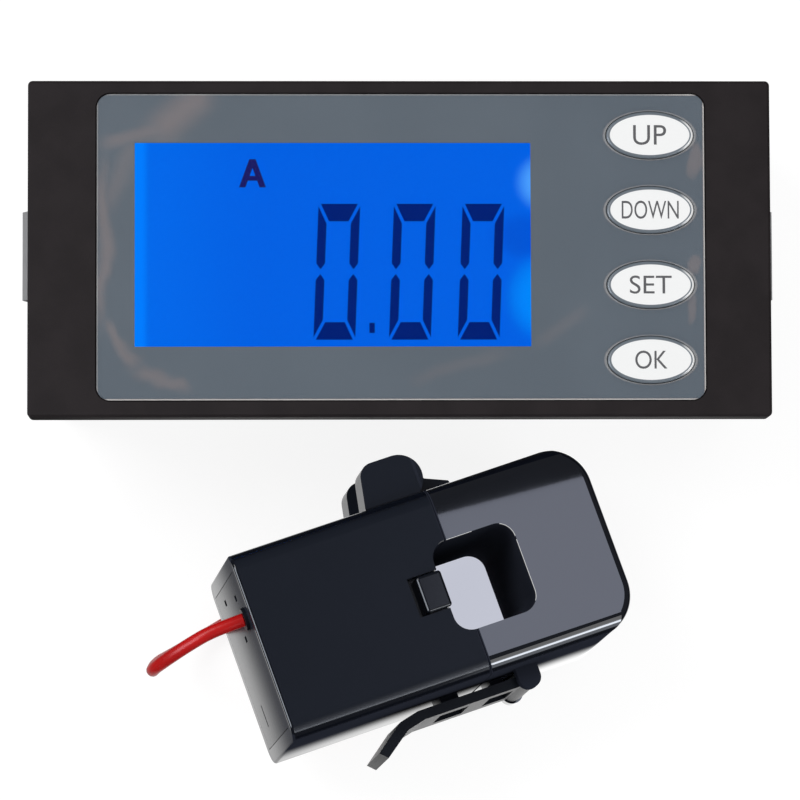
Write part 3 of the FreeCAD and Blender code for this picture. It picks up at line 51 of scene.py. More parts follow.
# Red lead, millimetres: the free stretch, then the coil
LEAD_D = 2.0
LEAD_POINTS = (
    (-23.20, -54.92, 31.49),
    (-27.54, -56.41, 31.82),
    (-31.46, -58.67, 30.52),
    (-34.55, -60.61, 27.56),
    (-36.50, -61.83, 23.24),
    (-36.86, -62.05, 17.25),
    (-36.33, -60.74, 12.12),
    (-34.22, -59.42, 6.77),
    (-31.06, -57.44, 3.29),
    (-27.27, -55.17, 1.68),
    (-21.79, -51.87, 1.35),
)
COIL_X, COIL_Y = -11.26, -59.5
COIL_MID_R, COIL_PITCH, COIL_LAYER, COIL_FOOT = 10.0, 2.45, 2.45, 0.35
COIL_START, COIL_IN, COIL_CLIMB, COIL_OUT, COIL_TAIL = 121.0, 1.6, 0.5, 1.2, 2.0
COIL_STEPS = 16

# Meter's front, millimetres
LABEL_X, LABEL_Y, LABEL_W, LABEL_H = 0.2, 0.25, 90.0, 45.5
WINDOW_X, WINDOW_Y, WINDOW_W, WINDOW_H = -9.9, 0.6, 58.6, 30.3
KEY_X, KEY_YS = 37.1, (16.85, 5.7, -5.45, -16.6)
KEY_NAMES = ("key_up", "key_down", "key_set", "key_ok")
KEY_TOP = 30.3
PRINT_W, PRINT_H, PRINT_LIFT = 11.84, 6.0, 0.012
RING_W, RING_H = 6.5, 3.5
LEGENDS = (("UP", 4.9, 2.95), ("DOWN", 8.45, 2.7), ("SET", 6.2, 2.7), ("OK", 4.75, 2.7))

# Painted reflections on the film. A streak has its start, end, width and strength,
# and a patch its centre, half sizes and strength.
FILM_REFLECTION_STREAKS = (
    ((-27.5, 24.5), (-38.0, 15.5), 4.0, 1.0),
    ((-31.0, 18.8), (-46.0, 15.2), 1.7, 0.8),
    ((-38.0, 19.0), (-44.0, 4.0), 2.2, 0.5),
    ((-43.6, 16.0), (-43.8, -14.0), 1.6, 0.9),
    ((-43.4, -9.0), (-38.5, -18.8), 1.6, 0.9),
    ((-40.0, -17.5), (-30.5, -21.6), 1.5, 0.8),
    ((0.0, -20.2), (18.0, -14.8), 1.6, 0.3),
    ((19.5, -14.8), (29.6, -7.5), 1.6, 0.3),
)
FILM_REFLECTION_PATCHES = (((43.9, 13.4), 1.4, 3.2, 0.8), ((43.6, -2.5), 1.2, 1.8, 0.8), ((43.5, -8.8), 1.0, 2.6, 0.7))

# Light: the cool tint of the cards, and the middle of the painted shade on the floor under the sensor's
# window
COOL = (0.84, 0.90, 1.0)
SHADE_X, SHADE_Y, SHADE_R = 13.3, -50.3, 16.0
FLOOR_SIZE, FLOOR_Z = 6.0, -0.0002


def clear_selection():
    """Leaves nothing selected."""
    for one in bpy.context.selected_objects:
        one.select_set(False)


# Camera


def set_camera():
    """A long lens, high above the part."""
    bpy.ops.object.camera_add(location=CAMERA_AT)
    camera = bpy.context.object
    pitch, yaw, roll = math.radians(CAMERA_TURN[0]), math.radians(CAMERA_TURN[1]), CAMERA_TURN[2]
    turn = Matrix.Rotation(roll, 3, "Z") @ Matrix.Rotation(yaw, 3, "Y") @ Matrix.Rotation(pitch, 3, "X")
    camera.rotation_euler = turn.to_euler()
    camera.data.lens = CAMERA_LENS
    camera.data.sensor_width = CAMERA_SENSOR
    camera.data.clip_end = 50.0
    bpy.context.scene.camera = camera


# Red lead


def coil_point(turns):
    """The coil's centreline after so many turns, as the frame winds it."""
    r_out = COIL_MID_R + COIL_PITCH * COIL_IN / 2
    r_in = r_out - COIL_PITCH * COIL_IN
    if turns < COIL_IN:
        r, up = r_out - COIL_PITCH * turns, 0.0
    elif turns < COIL_IN + COIL_CLIMB:
        share = (turns - COIL_IN) / COIL_CLIMB
        r = r_in - COIL_PITCH * COIL_CLIMB / math.pi * math.sin(math.pi * share)
        up = (1 - math.cos(math.pi * share)) / 2
    else:
        r, up = r_in + COIL_PITCH * (turns - COIL_IN - COIL_CLIMB), 1.0
    angle = math.radians(COIL_START) - 2 * math.pi * turns
    z = COIL_FOOT + LEAD_D / 2 + COIL_LAYER * up
    return Vector((COIL_X + r * math.cos(angle), COIL_Y + r * math.sin(angle), z))


def make_lead():
    """The sensor's lead: out of its end, down to the table, and wound away under the sensor."""
    points = [Vector(p) for p in LEAD_POINTS]
    total = COIL_IN + COIL_CLIMB + COIL_OUT
    count = round(total * COIL_STEPS)
    points += [coil_point(total * i / count) for i in range(count + 1)]
    last = (coil_point(total) - coil_point(total - 0.001)).normalized()
    points.append(points[-1] + last * COIL_TAIL)
    line = bpy.data.curves.new("red_lead", "CURVE")
    line.dimensions = "3D"
    spline = line.splines.new("NURBS")
    spline.points.add(len(points) - 1)
    for point, place in zip(spline.points, points):
        point.co = (*(place * MM), 1.0)
    spline.order_u = 3
    spline.use_endpoint_u = True
    spline.resolution_u = 8
    route = bpy.data.objects.new("red_lead", line)
    bpy.context.scene.collection.objects.link(route)
    bare = bpy.data.meshes.new_from_object(route)
    line.bevel_depth = LEAD_D / 2 * MM
    line.bevel_resolution = 5
    line.use_fill_caps = True
    clear_selection()
    route.select_set(True)
    bpy.context.view_layer.objects.active = route
    bpy.ops.object.convert(target="MESH")
    lead = bpy.context.object
    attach(lead, "meter_and_sensor_base")
    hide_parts("sensor_lead", "lead_coil")
    return lead


# Materials


class Wire:
    """A value that varies over a surface. Sums, products and powers of wires add the maths nodes."""

    def __init__(self, look, socket):
        self.look, self.socket = look, socket

    def maths(self, operation, *others, clamp=False):
        sockets = dict(enumerate((self, *others)))
        return self.look.add("ShaderNodeMath", {"operation": operation, "use_clamp": clamp}, sockets)

    def turned_round(self, operation, other):
        sockets = {0: other, 1: self}
        return self.look.add("ShaderNodeMath", {"operation": operation}, sockets)

    def __add__(self, other):
        return self.maths("ADD", other)

    def __sub__(self, other):
        return self.maths("SUBTRACT", other)

    def __mul__(self, other):
        return self.maths("MULTIPLY", other)

    def __truediv__(self, other):
        return self.maths("DIVIDE", other)

    def __pow__(self, other):
        return self.maths("POWER", other)

    __radd__, __rmul__ = __add__, __mul__

    def __rsub__(self, other):
        return self.turned_round("SUBTRACT", other)

    def __rtruediv__(self, other):
        return self.turned_round("DIVIDE", other)

    def size(self):
        return self.maths("ABSOLUTE")

    def held(self):
        return self.maths("ADD", 0.0, clamp=True)

    def most(self, other):
        return self.maths("MAXIMUM", other)

    def least(self, other):
        return self.maths("MINIMUM", other)

    def step(self, low, high):
        """0 below low, 1 above high, smooth between; falls where low is above high."""
        settings = {"interpolation_type": "SMOOTHSTEP"}
        flip = low > high
        sockets = {"Value": self, "From Min": min(low, high), "From Max": max(low, high)}
        sockets.update({"To Min": 1.0 if flip else 0.0, "To Max": 0.0 if flip else 1.0})
        return self.look.add("ShaderNodeMapRange", settings, sockets)


class Look:
    """A material, or the world's light, under construction."""

    def __init__(self, name, world=False):
        self.material = (bpy.data.worlds if world else bpy.data.materials).new(name)
        self.material.use_nodes = True
        self.tree = self.material.node_tree
        self.tree.nodes.clear()
        self.end = self.tree.nodes.new("ShaderNodeOutputWorld" if world else "ShaderNodeOutputMaterial")

    def add(self, kind, settings=None, sockets=None, output=0):
        """A node of this kind: its settings first, then the values or wires of its sockets."""
        node = self.tree.nodes.new(kind)
        for key, value in (settings or {}).items():
            if key == "stops":
                ramp = node.color_ramp.elements
                while len(ramp) < len(value):
                    ramp.new(1.0)
                for stop, (place, colour) in zip(ramp, value):
                    stop.position, stop.color = place, (*colour, 1.0)
            else:
                setattr(node, key, value)
        for key, value in (sockets or {}).items():
            if isinstance(value, Wire):
                self.tree.links.new(value.socket, node.inputs[key])
            else:
                node.inputs[key].default_value = value
        return Wire(self, node.outputs[output])

    def place(self, scale=1000.0):
        """Where a point of the piece lies, in millimetres."""
        spot = self.add("ShaderNodeTexCoord", output=3)
        return self.add("ShaderNodeVectorMath", {"operation": "SCALE"}, {0: spot, "Scale": scale})

    def sensor_place(self):
        """Where a point lies in the sensor's own frame, in millimetres."""
        spot = self.add("ShaderNodeTexCoord", output=3)
        settings = {"vector_type": "TEXTURE"}
        sockets = {"Vector": spot, "Location": SENSOR_CORNER, "Rotation": SENSOR_TURN, "Scale": (MM, MM, MM)}
        return self.add("ShaderNodeMapping", settings, sockets)

    def parts(self, vector):
        """The three numbers of a vector."""
        node = self.tree.nodes.new("ShaderNodeSeparateXYZ")
        self.tree.links.new(vector.socket, node.inputs[0])
        return [Wire(self, out) for out in node.outputs]

    def noise(self, vector, scale, detail=2.0, rough=0.5):
        sockets = {"Vector": vector, "Scale": scale, "Detail": detail, "Roughness": rough}
        return self.add("ShaderNodeTexNoise", None, sockets)

    def blend(self, share, first, second):
        """A colour that goes from the first to the second, by a share from 0 to 1."""
        sockets = {0: share, 6: self.colour(first), 7: self.colour(second)}
        return self.add("ShaderNodeMix", {"data_type": "RGBA"}, sockets, output=2)

    def colour(self, value):
        return value if isinstance(value, Wire) else (*value[:3], 1.0)

    def bump(self, height, depth, base=None):
        """Raises a surface by a height that runs from 0 to 1, depth in millimetres."""
        sockets = {"Height": height, "Distance": depth * MM, "Strength": 1.0}
        if base is not None:
            sockets["Normal"] = base
        return self.add("ShaderNodeBump", None, sockets)

    def surface(self, **sockets):
        """A surface shader, with its sockets named in plain words."""
        named = {key.replace("_", " "): value for key, value in sockets.items()}
        for key in ("Base Color", "Emission Color"):
            if key in named:
                named[key] = self.colour(named[key])
        return self.add("ShaderNodeBsdfPrincipled", None, named)

    def shown(self, shader):
        self.tree.links.new(shader.socket, self.end.inputs["Surface"])
        return self.material

    def finish(self, **sockets):
        return self.shown(self.surface(**sockets))

    def rays(self, *kinds):
        """1 for each of these kinds of ray, 0 for the others."""
        node = self.tree.nodes.new("ShaderNodeLightPath")
        return [Wire(self, node.outputs[f"Is {kind} Ray"]) for kind in kinds]


def moulded(name, colour, rough, grain=0.02, grain_size=6.0, mottle=0.12, coat=0.0, level=0.5):
    """Moulded plastic: a fine grain, a faint mottle and an uneven sheen."""
    look = Look(name)
    spot = look.place()
    cloud = look.noise(spot, 0.18, 3.0)
    grit = look.noise(spot, grain_size, 2.0, 0.6)
    deep = tuple(c * (1 - mottle) for c in colour)
    pale = tuple(min(1.0, c * (1 + mottle)) for c in colour)
    return look.finish(
        Base_Color=look.blend(cloud.step(0.3, 0.7), deep, pale),
        Roughness=(rough + (cloud + grit - 1.0) * 0.06).held(),
        Specular_IOR_Level=level,
        Normal=look.bump(grit, grain),
        Coat_Weight=coat,
        Coat_Roughness=0.08,
    )


def rolled_metal(name, colour, rough, along=(1.0, 1.0, 1.0), wear=0.25, metallic=1.0):
    """Metal with drawn marks along one way and slightly dulled patches."""
    look = Look(name)
    spot = look.place()
    lines = look.add("ShaderNodeVectorMath", {"operation": "MULTIPLY"}, {0: spot, 1: along})
    marks = look.noise(lines, 3.0, 3.0, 0.7)
    dull = look.noise(spot, 0.5, 2.0)
    worn = tuple(c * (1 - wear) for c in colour)
    return look.finish(
        Base_Color=look.blend(dull.step(0.35, 0.75), colour, worn),
        Metallic=metallic,
        Roughness=(rough + (marks - 0.5) * 0.25 + (dull - 0.5) * 0.2).held(),
        Normal=look.bump(marks, 0.004),
    )


def board_look(name):
    """A printed board: green lacquer over a faint weave and copper runs."""
    look = Look(name)
    x, y, z = look.parts(look.place())
    weave = ((x * 5.0).maths("SINE") * (y * 5.0).maths("SINE") + 1.0) * 0.5
    sockets = {"Vector": look.place(), "Scale": 0.22, "Mortar Size": 0.035}
    cells = look.add("ShaderNodeTexBrick", {"offset": 0.5}, sockets)
    runs = look.add("ShaderNodeRGBToBW", None, {0: cells})
    copper = runs.step(0.4, 0.1)
    lacquer = look.blend(weave * 0.4, (0.008, 0.085, 0.035), (0.012, 0.12, 0.05))
    return look.finish(
        Base_Color=look.blend(copper * 0.7, lacquer, (0.03, 0.21, 0.07)),
        Roughness=0.28 + weave * 0.08,
        Normal=look.bump(copper, 0.03),
        Coat_Weight=0.4,
        Coat_Roughness=0.15,
    )


def streak(x, y, start, end, width):
    """A soft stripe along a line from one point to another."""
    run = Vector(end) - Vector(start)
    long = run.length
    ux, uy = run.x / long, run.y / long
    along = (x - start[0]) * ux + (y - start[1]) * uy
    aside = ((x - start[0]) * -uy + (y - start[1]) * ux).size()
    return aside.step(width, 0.0) * along.step(0.0, long * 0.3) * along.step(long, long * 0.7)


def spot_of(x, y, centre, wide, high):
    """A soft oval patch."""
    across, up = (x - centre[0]) / wide, (y - centre[1]) / high
    return (across * across + up * up).step(1.0, 0.1)


def key_rings(x, y):
    """Where the embossed rims round the keys lie, for the film's painted highlight on them."""
    pitch = KEY_YS[0] - KEY_YS[1]
    up = (y - KEY_YS[-1] + pitch / 2).maths("FLOORED_MODULO", pitch) - pitch / 2
    across, high = (x - KEY_X) / RING_W, up / RING_H
    away = (across * across + high * high) ** 0.5
    return away.step(0.95, 1.0) * away.step(1.09, 1.04)


def film_look():
    """The clear film over the front: almost unseen, with painted reflections in streaks and patches, a
    painted highlight along its edge, stronger on the right and bottom, and painted highlights on the
    embossed rims round the keys.
    """
    look = Look("clear_film_over_front")
    spot = look.place()
    px, py, pz = look.parts(spot)
    drift = look.noise(spot, 0.11, 3.0)
    x, y = px + (drift - 0.5) * 5.0, py + (drift - 0.5) * 4.0
    # Painted reflections: soft brownish streaks and patches on the film
    marks = [streak(x, y, start, end, width) * strength for start, end, width, strength in FILM_REFLECTION_STREAKS]
    marks += [spot_of(x, y, centre, wide, high) * strength for centre, wide, high, strength in FILM_REFLECTION_PATCHES]
    painted_reflections = marks[0]
    for mark in marks[1:]:
        painted_reflections = painted_reflections.most(mark)
    rim_x = LABEL_W / 2 - (px - LABEL_X).size()
    rim_y = LABEL_H / 2 - (py - LABEL_Y).size()
    # Painted highlight along the film's edge, stronger on the right and bottom sides
    rim = rim_x.least(rim_y).step(0.26, 0.1)
    bright = px.step(35.0, 45.0).most(py.step(-20.0, -22.4))
    # Painted highlight: a pale halo on the embossed rims round the keys
    painted_rim_highlight = key_rings(px, py)
    glass_x = (px - WINDOW_X).size().step(WINDOW_W / 2 + 0.2, WINDOW_W / 2)
    glass_y = (py - WINDOW_Y).size().step(WINDOW_H / 2 + 0.2, WINDOW_H / 2)
    clear = 1.0 - glass_x * glass_y
    # Opacity: a faint even veil of the film itself, plus the painted reflections and the painted highlights
    # on edge and rims
    veil = painted_reflections * 0.09 + rim * (0.12 + bright * 0.3) + painted_rim_highlight * 0.14 + 0.012
    # Colour: brownish in the painted reflections, pale in the painted highlights on edge and rims
    pale = rim.most(painted_rim_highlight)
    return look.finish(
        Base_Color=look.blend(pale, (0.70, 0.52, 0.47), (0.85, 0.82, 0.80)),
        Roughness=0.06 + painted_reflections * 0.1,
        Alpha=(veil * clear).held(),
        Normal=look.bump(drift, 0.15),
    )


def label_look():
    """Grey print on the front sheet, with a faint unevenness."""
    look = Look("grey_front_print")
    spot = look.place()
    cloud = look.noise(spot, 0.06, 2.0)
    grit = look.noise(spot, 14.0, 1.0)
    return look.finish(
        Base_Color=look.blend(cloud.step(0.3, 0.7), (0.097, 0.130, 0.163), (0.105, 0.139, 0.173)),
        Roughness=0.32 + (grit - 0.5) * 0.06,
        Normal=look.bump(grit, 0.004),
    )


def screen_look():
    """The lit display: deep blue, a brighter strip at the left, two lamps showing at the right."""
    look = Look("lit_display_glass")
    x, y, z = look.parts(look.place())
    inward = x - (WINDOW_X - WINDOW_W / 2)
    left = inward.step(2.2, 0.9)
    near_left = inward.step(20.0, 0.0) * 0.4
    upper = spot_of(x, y, (21.9, 10.1), 5.6, 5.4) ** 1.6
    lower = spot_of(x, y, (21.6, -7.0), 7.0, 8.0) ** 1.6 * 0.8
    dim = spot_of(x, y, (18.6, 2.1), 6.0, 4.0)
    ground = look.blend(dim * 0.8, (0.0, 0.117, 0.78), (0.0, 0.085, 0.66))
    ground = look.blend(near_left, ground, (0.0, 0.17, 0.92))
    ground = look.blend(left, ground, (0.0, 0.205, 1.0))
    ground = look.blend(lower, ground, (0.0, 0.27, 1.0))
    ground = look.blend(upper, ground, (0.07, 0.35, 1.0))
    return look.finish(
        Base_Color=(0.0, 0.0, 0.0),
        Roughness=0.25,
        Specular_IOR_Level=0.0,
        Emission_Color=ground,
        Emission_Strength=1.0,
    )


def segment_look():
    """The dark bars of the reading, and the unit letter in a slightly browner print."""
    look = Look("dark_display_segments")
    spot = look.place()
    x, y, z = look.parts(spot)
    cloud = look.noise(spot, 0.4, 1.0)
    digits = look.blend(cloud, (0.0, 0.012, 0.160), (0.0, 0.014, 0.180))
    return look.finish(
        Base_Color=(0.0, 0.0, 0.0),
        Roughness=0.3 + cloud * 0.1,
        Specular_IOR_Level=0.0,
        Emission_Color=look.blend(x.step(-18.0, -19.0), digits, (0.011, 0.011, 0.120)),
        Emission_Strength=1.0,
    )


def clear_look(name, colour, veil, rough=0.04):
    """Clear moulded sheet or block."""
    look = Look(name)
    cloud = look.noise(look.place(), 0.3, 1.0)
    return look.finish(Base_Color=colour, Alpha=veil * (0.8 + cloud * 0.4), Roughness=rough + cloud * 0.05)


def key_look(name, key_y):
    """An embossed key: a white printed oval inside a grey rim that is painted paler than the front print to
    lift the shade round the key, with a painted white glint on its right.
    """
    look = Look(name)
    spot = look.place()
    x, y, z = look.parts(spot)
    across, up = (x - KEY_X) / (PRINT_W / 2), (y - key_y) / (PRINT_H / 2)
    away = (across * across + up * up) ** 0.5
    printed = away.step(1.012, 0.988)
    # Painted highlight: a thin white glint on the key's right side
    painted_glint = away.step(1.03, 1.045) * across.step(0.72, 0.98)
    grit = look.noise(spot, 8.0, 2.0)
    white = look.blend(grit * 0.5, (0.97, 0.98, 0.98), (1.0, 1.0, 1.0))
    return look.finish(
        # The rim's grey is painted paler than the front print, lifting the shade round the key
        Base_Color=look.blend(printed.most(painted_glint), (0.150, 0.178, 0.208), white),
        Roughness=0.34 + (grit - 0.5) * 0.08,
        Normal=look.bump(grit, 0.003),
        Coat_Weight=0.2,
        Coat_Roughness=0.07,
    )


def shell_look(name, satin_face, polish, coat=0.0):
    """The sensor's black: polished, satin on lugs and face, matte in the window and on the seam, with a
    painted sheen on the window's walls; high on the lower side and on the wire end it turns matte black, a
    painted darkening of their reflections.
    """
    look = Look(name)
    spot = look.place()
    u, v, w = look.parts(look.sensor_place())
    cloud = look.noise(spot, 0.12, 3.0)
    grit = look.noise(spot, 9.0, 2.0, 0.6)
    lugs = v.step(LUGS_FROM, LUGS_FROM + BLUR)
    satin = (w.step(FACE_AT - 0.25, FACE_AT) * u.step(0.3, 0.5) * satin_face).most(lugs)
    in_u = u.step(HOLE_U[0] - 0.3, HOLE_U[0] - 0.1) * u.step(HOLE_U[1] + 0.3, HOLE_U[1] + 0.1)
    in_v = v.step(HOLE_V[0] - 0.3, HOLE_V[0] - 0.1) * v.step(HOLE_V[1] + 0.3, HOLE_V[1] + 0.1)
    window = in_u * in_v * w.step(FACE_AT, FACE_AT - 0.25)
    # Painted reflection: the lower side goes matte black higher up, from 5 to 19 mm, leaving only its foot
    # glossy
    low_side_painted_dark = v.step(0.4, 0.1) * w.step(5.0, 19.0)
    # Painted reflection: the wire end goes matte black higher up, to 85 percent, a painted fade of its
    # reflection
    wire_end_painted_fade = u.step(0.4, 0.2) * w.step(2.0, 26.0) * w.step(FACE_AT - 0.25, FACE_AT - 0.55) * 0.85
    gloss = look.surface(
        Base_Color=look.blend(cloud, (0.0030, 0.0042, 0.0080), (0.0038, 0.0052, 0.0098)),
        Roughness=(polish + cloud * 0.02).held(),
        Normal=look.bump(cloud, 0.002),
        Coat_Weight=coat,
        Coat_Roughness=0.015,
    )
    flat = look.surface(
        Base_Color=look.blend(cloud, (0.0058, 0.0084, 0.0158), (0.0068, 0.0098, 0.0182)),
        Roughness=0.34 + (grit - 0.5) * 0.05,
        Specular_IOR_Level=0.25,
        Normal=look.bump(grit, 0.004),
    )
    # Painted reflection on the window's walls: paler lower down and towards the window's far end
    sheen = window * w.step(26.0, 4.0) * u.step(HOLE_U[0] + 4.0, HOLE_U[1])
    inner = look.blend(sheen, (0.020, 0.023, 0.034), (0.075, 0.085, 0.118))
    # Matte black, with the painted sheen on the window's walls
    dark_matte = look.surface(
        Base_Color=look.blend(cloud * 0.4, inner, (0.030, 0.034, 0.048)),
        Roughness=0.5 + grit * 0.1,
        Specular_IOR_Level=0.0,
    )
    seam = (u - SPLIT_U).size().step(SEAM_HALF + 0.04, SEAM_HALF - 0.04)
    # Matte black in the window and on the seam, and as painted darkness high on the lower side and on the
    # wire end
    dull = window.most(low_side_painted_dark).most(wire_end_painted_fade).most(seam)
    first = look.add("ShaderNodeMixShader", None, {0: satin, 1: gloss, 2: flat})
    return look.shown(look.add("ShaderNodeMixShader", None, {0: dull, 1: first, 2: dark_matte}))


def ferrite_look(name):
    """Sintered core: dark, dull and grainy."""
    look = Look(name)
    spot = look.place()
    grit = look.noise(spot, 2.5, 4.0, 0.7)
    return look.finish(
        Base_Color=look.blend(grit.step(0.35, 0.7), (0.022, 0.022, 0.024), (0.055, 0.053, 0.052)),
        Roughness=0.6 + grit * 0.2,
        Normal=look.bump(grit, 0.05),
    )


def wound_look(name, first, second):
    """Fine wire wound side by side."""
    look = Look(name)
    u, v, w = look.parts(look.sensor_place())
    turns = (v * 16.0).maths("SINE") * 0.5 + 0.5
    cloud = look.noise(look.place(), 0.7, 2.0)
    return look.finish(
        Base_Color=look.blend((turns * 0.7 + cloud * 0.3).held(), first, second),
        Metallic=0.7,
        Roughness=0.3 + cloud * 0.15,
        Normal=look.bump(turns, 0.05),
    )


def rubber_look(name, colour):
    """Soft insulation: smooth, with a faint orange-peel skin."""
    look = Look(name)
    spot = look.place()
    skin = look.noise(spot, 1.6, 2.0)
    cloud = look.noise(spot, 0.15, 2.0)
    deep = tuple(c * 0.82 for c in colour)
    return look.finish(
        Base_Color=look.blend(cloud.step(0.3, 0.7), deep, colour),
        Roughness=0.28 + skin * 0.1,
        Specular_IOR_Level=0.25,
        Normal=look.bump(skin, 0.015),
    )


def coated(name, colour, rough):
    """A dipped or sleeved electronic piece."""
    return moulded(name, colour, rough, grain=0.015, grain_size=3.0, mottle=0.15, coat=0.3)


# Which finish each node has


def dress(looks):
    """Gives each frame node its material."""
    for names, material in looks:
        for name in names.split():
            piece = NODES[name]
            piece.data.materials.clear()
            piece.data.materials.append(material)


def dress_nodes():
    """Every frame node and its finish."""
    near_black = (0.0205, 0.0165, 0.0175)
    steel = (0.42, 0.42, 0.43)
    zinc = (0.58, 0.58, 0.57)
    drawn = (1.0, 0.15, 1.0)
    satin_black = (0.008, 0.010, 0.015)
    dress((
        ("bezel", moulded("bezel_plastic", near_black, 0.62, 0.03, 5.0, 0.10, level=0.1)),
        ("housing back_cover", moulded("housing_plastic", (0.026, 0.025, 0.026), 0.58, 0.035, 4.0)),
        ("front_label", label_look()),
        ("protective_film", film_look()),
        ("display_lens", clear_look("clear_lens", (0.5, 0.6, 0.8), 0.002)),
        ("display_glass", screen_look()),
        ("display_segments", segment_look()),
        ("display_frame light_sheets sensor_bobbin", moulded("white_moulding", (0.78, 0.78, 0.76), 0.4)),
        ("light_guide", clear_look("clear_acrylic", (0.8, 0.88, 0.95), 0.22)),
        ("backlight_lamps", coated("lamp_body", (0.75, 0.82, 0.86), 0.25)),
        ("elastomer_strips", moulded("layered_rubber", (0.30, 0.16, 0.16), 0.6)),
        ("tact_switches board_header board_chips", coated("moulded_black", (0.014, 0.014, 0.015), 0.45)),
        ("main_board power_board burden_board", board_look("green_board")),
        ("board_screws case_screws latch_pin hinge_pin clip_pins", rolled_metal("zinc_plated", zinc, 0.32)),
        ("transformer_core base_core cap_core", ferrite_look("dull_ferrite")),
        ("transformer_winding", coated("yellow_tape", (0.70, 0.55, 0.08), 0.4)),
        ("sensor_winding", wound_look("copper_wire", (0.55, 0.20, 0.08), (0.80, 0.38, 0.20))),
        ("capacitors", coated("capacitor_sleeve", (0.012, 0.02, 0.09), 0.25)),
        ("fuse", coated("white_ceramic", (0.74, 0.72, 0.66), 0.22)),
        ("surge_disc", coated("blue_coating", (0.02, 0.10, 0.36), 0.3)),
        ("terminal_block", moulded("green_terminal", (0.020, 0.105, 0.045), 0.45)),
        ("left_clip right_clip core_spring", rolled_metal("spring_steel", steel, 0.4, drawn, 0.1, 0.3)),
        ("sensor_base_shell", shell_look("sensor_black_base", 1.0, 0.08)),
        ("sensor_cap_shell", shell_look("sensor_black_cap", 0.0, 0.015, 1.0)),
        ("window_tongue", shell_look("tongue_black", 0.0, 0.16)),
        ("sensor_end_plate", shell_look("sensor_end_black", 0.0, 0.2)),
        ("latch_strap coil_tie lead_grommet", moulded("satin_black", satin_black, 0.36, 0.02, level=0.15)),
    ))
    screws = " ".join(f"terminal_screw_{i}" for i in range(1, 5))
    cages = " ".join(f"clamp_cage_{i}" for i in range(1, 5))
    dress((
        (screws, rolled_metal("terminal_steel", (0.60, 0.60, 0.59), 0.3)),
        (cages + " terminal_bars lead_ferrule", rolled_metal("tinned_brass", (0.66, 0.62, 0.50), 0.3)),
    ))
    for name, y in zip(KEY_NAMES, KEY_YS):
        dress(((name, key_look(name + "_print", y)),))


# Words on the keys


def legend_look():
    """The ink of the words on the keys."""
    look = Look("dark_grey_print")
    cloud = look.noise(look.place(), 2.0, 2.0)
    return look.finish(
        Base_Color=look.blend(cloud * 0.5, (0.105, 0.105, 0.112), (0.125, 0.125, 0.132)),
        Roughness=0.4 + cloud * 0.1,
    )


def make_legends():
    """The words on the keys, printed on their tops."""
    ink = legend_look()
    for name, key_y, (word, wide, high) in zip(KEY_NAMES, KEY_YS, LEGENDS):
        clear_selection()
        bpy.ops.object.text_add()
        text = bpy.context.object
        text.name = name + "_legend"
        text.data.body = word
        text.data.extrude = 0.0
        text.data.offset = -0.002
        text.data.resolution_u = 6
        bpy.ops.object.convert(target="MESH")
        text = bpy.context.object
        xs = [v.co.x for v in text.data.vertices]
        ys = [v.co.y for v in text.data.vertices]
        mid_x, mid_y = (min(xs) + max(xs)) / 2, (min(ys) + max(ys)) / 2
        scale_x, scale_y = wide * MM / (max(xs) - min(xs)), high * MM / (max(ys) - min(ys))
        for v in text.data.vertices:
            x, y = (v.co.x - mid_x) * scale_x, (v.co.y - mid_y) * scale_y
            v.co = (KEY_X * MM + x, key_y * MM + y, (KEY_TOP + PRINT_LIFT) * MM)
        text.data.materials.clear()
        text.data.materials.append(ink)
        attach(text, name + "_body")


# Floor and light


def set_stage():
    """A pale floor that keeps the object's shadow, with a painted bluish shade under the sensor's window and
    a painted pool of light near the object that only reflections see; and soft plain light.
    """
    bpy.ops.mesh.primitive_plane_add(size=FLOOR_SIZE, location=(0.0, 0.0, FLOOR_Z))
    floor = bpy.context.object
    floor.name = "floor"
    look = Look("pale_floor")
    x, y, z = look.parts(look.place())
    camera, glossy, through = look.rays("Camera", "Glossy", "Transmission")
    seen = camera.most(through)
    # Painted light for reflections: glossy rays see the floor bright only near the object, dark further off
    near = spot_of(x, y, (8.0, -52.0), 70.0, 52.0)
    # Painted shade: a bluish patch on the floor under the sensor's window, seen by the camera
    shade = spot_of(x, y, (SHADE_X, SHADE_Y), SHADE_R, SHADE_R) * seen
    paper = look.add("ShaderNodeBsdfDiffuse", None, {"Color": (0.80, 0.80, 0.80, 1.0)})
    pale = look.blend(shade, (1.0, 1.0, 1.0), (0.60, 0.62, 0.72))
    colour = look.blend(seen.most(near), (0.02, 0.02, 0.02), pale)
    white = look.add("ShaderNodeEmission", None, {"Color": colour, "Strength": 1.2})
    share = (seen * 0.72 + glossy).held()
    mixed = look.add("ShaderNodeMixShader", None, {0: share, 1: paper, 2: white})
    floor.data.materials.append(look.shown(mixed))

    sky = Look("studio", world=True)
    camera, glossy = sky.rays("Camera", "Glossy")
    level = 0.57 + camera * 0.43 - glossy * 0.47
    sockets = {"Color": (1.0, 1.0, 1.0, 1.0), "Strength": level}
    bpy.context.scene.world = sky.shown(sky.add("ShaderNodeBackground", None, sockets))


def lamp(name, place, size, power, target=(0.0, -0.03, 0.02)):
    """A square area light that looks at the part."""
    bpy.ops.object.light_add(type="AREA", location=place)
    light = bpy.context.object
    light.name = name
    light.data.energy = power
    light.data.size = size
    light.rotation_euler = (Vector(target) - Vector(place)).to_track_quat("-Z", "Y").to_euler()
    return light


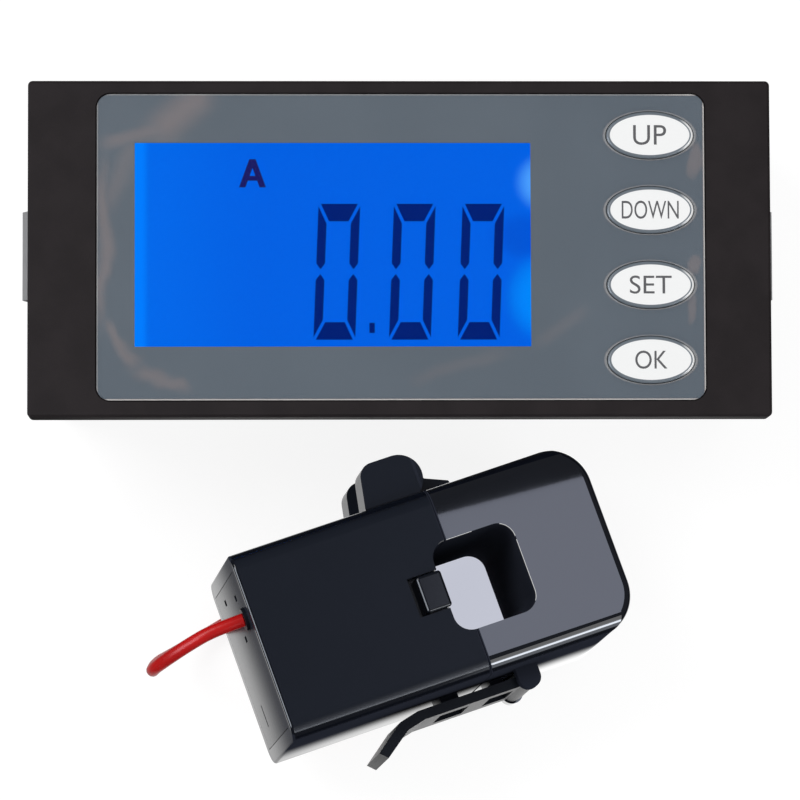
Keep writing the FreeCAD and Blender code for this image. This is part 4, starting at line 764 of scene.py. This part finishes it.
def card(name, centre, along, across, wide, tall, bright, colour=(1.0, 1.0, 1.0)):
    """A light card with given edges, which the polished sensor mirrors; bright is its radiance."""
    along, across = Vector(along).normalized(), Vector(across).normalized()
    facing = Matrix((along, across, along.cross(across))).transposed()
    light = lamp(name, centre, wide, bright * math.pi * wide * tall)
    light.rotation_euler = facing.to_euler()
    light.data.shape = "RECTANGLE"
    light.data.size_y = tall
    light.data.color = colour
    light.visible_diffuse = False


def set_lamps():
    """Two soft lamps, and the cards: for the cap's face, the long edge, the base and the wire end."""
    lamp("key_light", (-0.55, 0.35, 0.80), 0.50, 4.2)
    lamp("fill_light", (0.60, -0.45, 0.70), 0.60, 1.6)

    # The cap's face mirrors this card; its upper edge is the sharp line across the face
    along, across = Vector((0.8968, 0.2568, -0.3603)), Vector((-0.3415, 0.9192, -0.1948))
    corner = (Vector((174.5, 118.4, 531.6)) + along * -22.0 + across * 18.3) * MM
    tilted = along - across * 0.065
    upward = across + along * 0.065
    wide, tall = 0.122, 0.128
    centre = corner + tilted * (wide / 2) - upward * (tall / 2)
    card("sensor_card", centre, tilted, upward, wide, tall, 2.1, (0.76, 0.81, 1.0))

    # The long near edge mirrors these: a bright card and a weak one on the cap, one more on the base
    middle = Vector((0.005, -0.055, 0.025))
    away = Vector((0.14, -0.40, 0.265))
    along = Vector((0.9355, 0.3185, -0.153))
    across = away.cross(along).normalized()
    on_cap, on_base = middle + away + along * 0.292, middle + away + along * 0.09
    card("edge_card", on_cap + across * 0.06, along, across, 0.30, 0.10, 9.0, COOL)
    card("edge_glow", on_cap + away * 0.02 - across * 0.02, along, across, 0.30, 0.36, 1.3, COOL)
    card("base_glow", on_base + across * 0.07, along, across, 0.09, 0.12, 4.5, COOL)

    # The wire end mirrors this one
    away = Vector((-0.365, -0.055, 0.25))
    along = Vector((-0.3335, 0.939, -0.0844))
    card("end_card", Vector((-0.023, -0.06, 0.036)) + away, along, away.cross(along), 0.30, 0.40, 7.0, COOL)


set_camera()
lead = make_lead()
lead.data.materials.append(rubber_look("red_insulation", (0.58, 0.004, 0.004)))
dress_nodes()
make_legends()
set_stage()
set_lamps()
bpy.context.scene.view_settings.view_transform = "Standard"
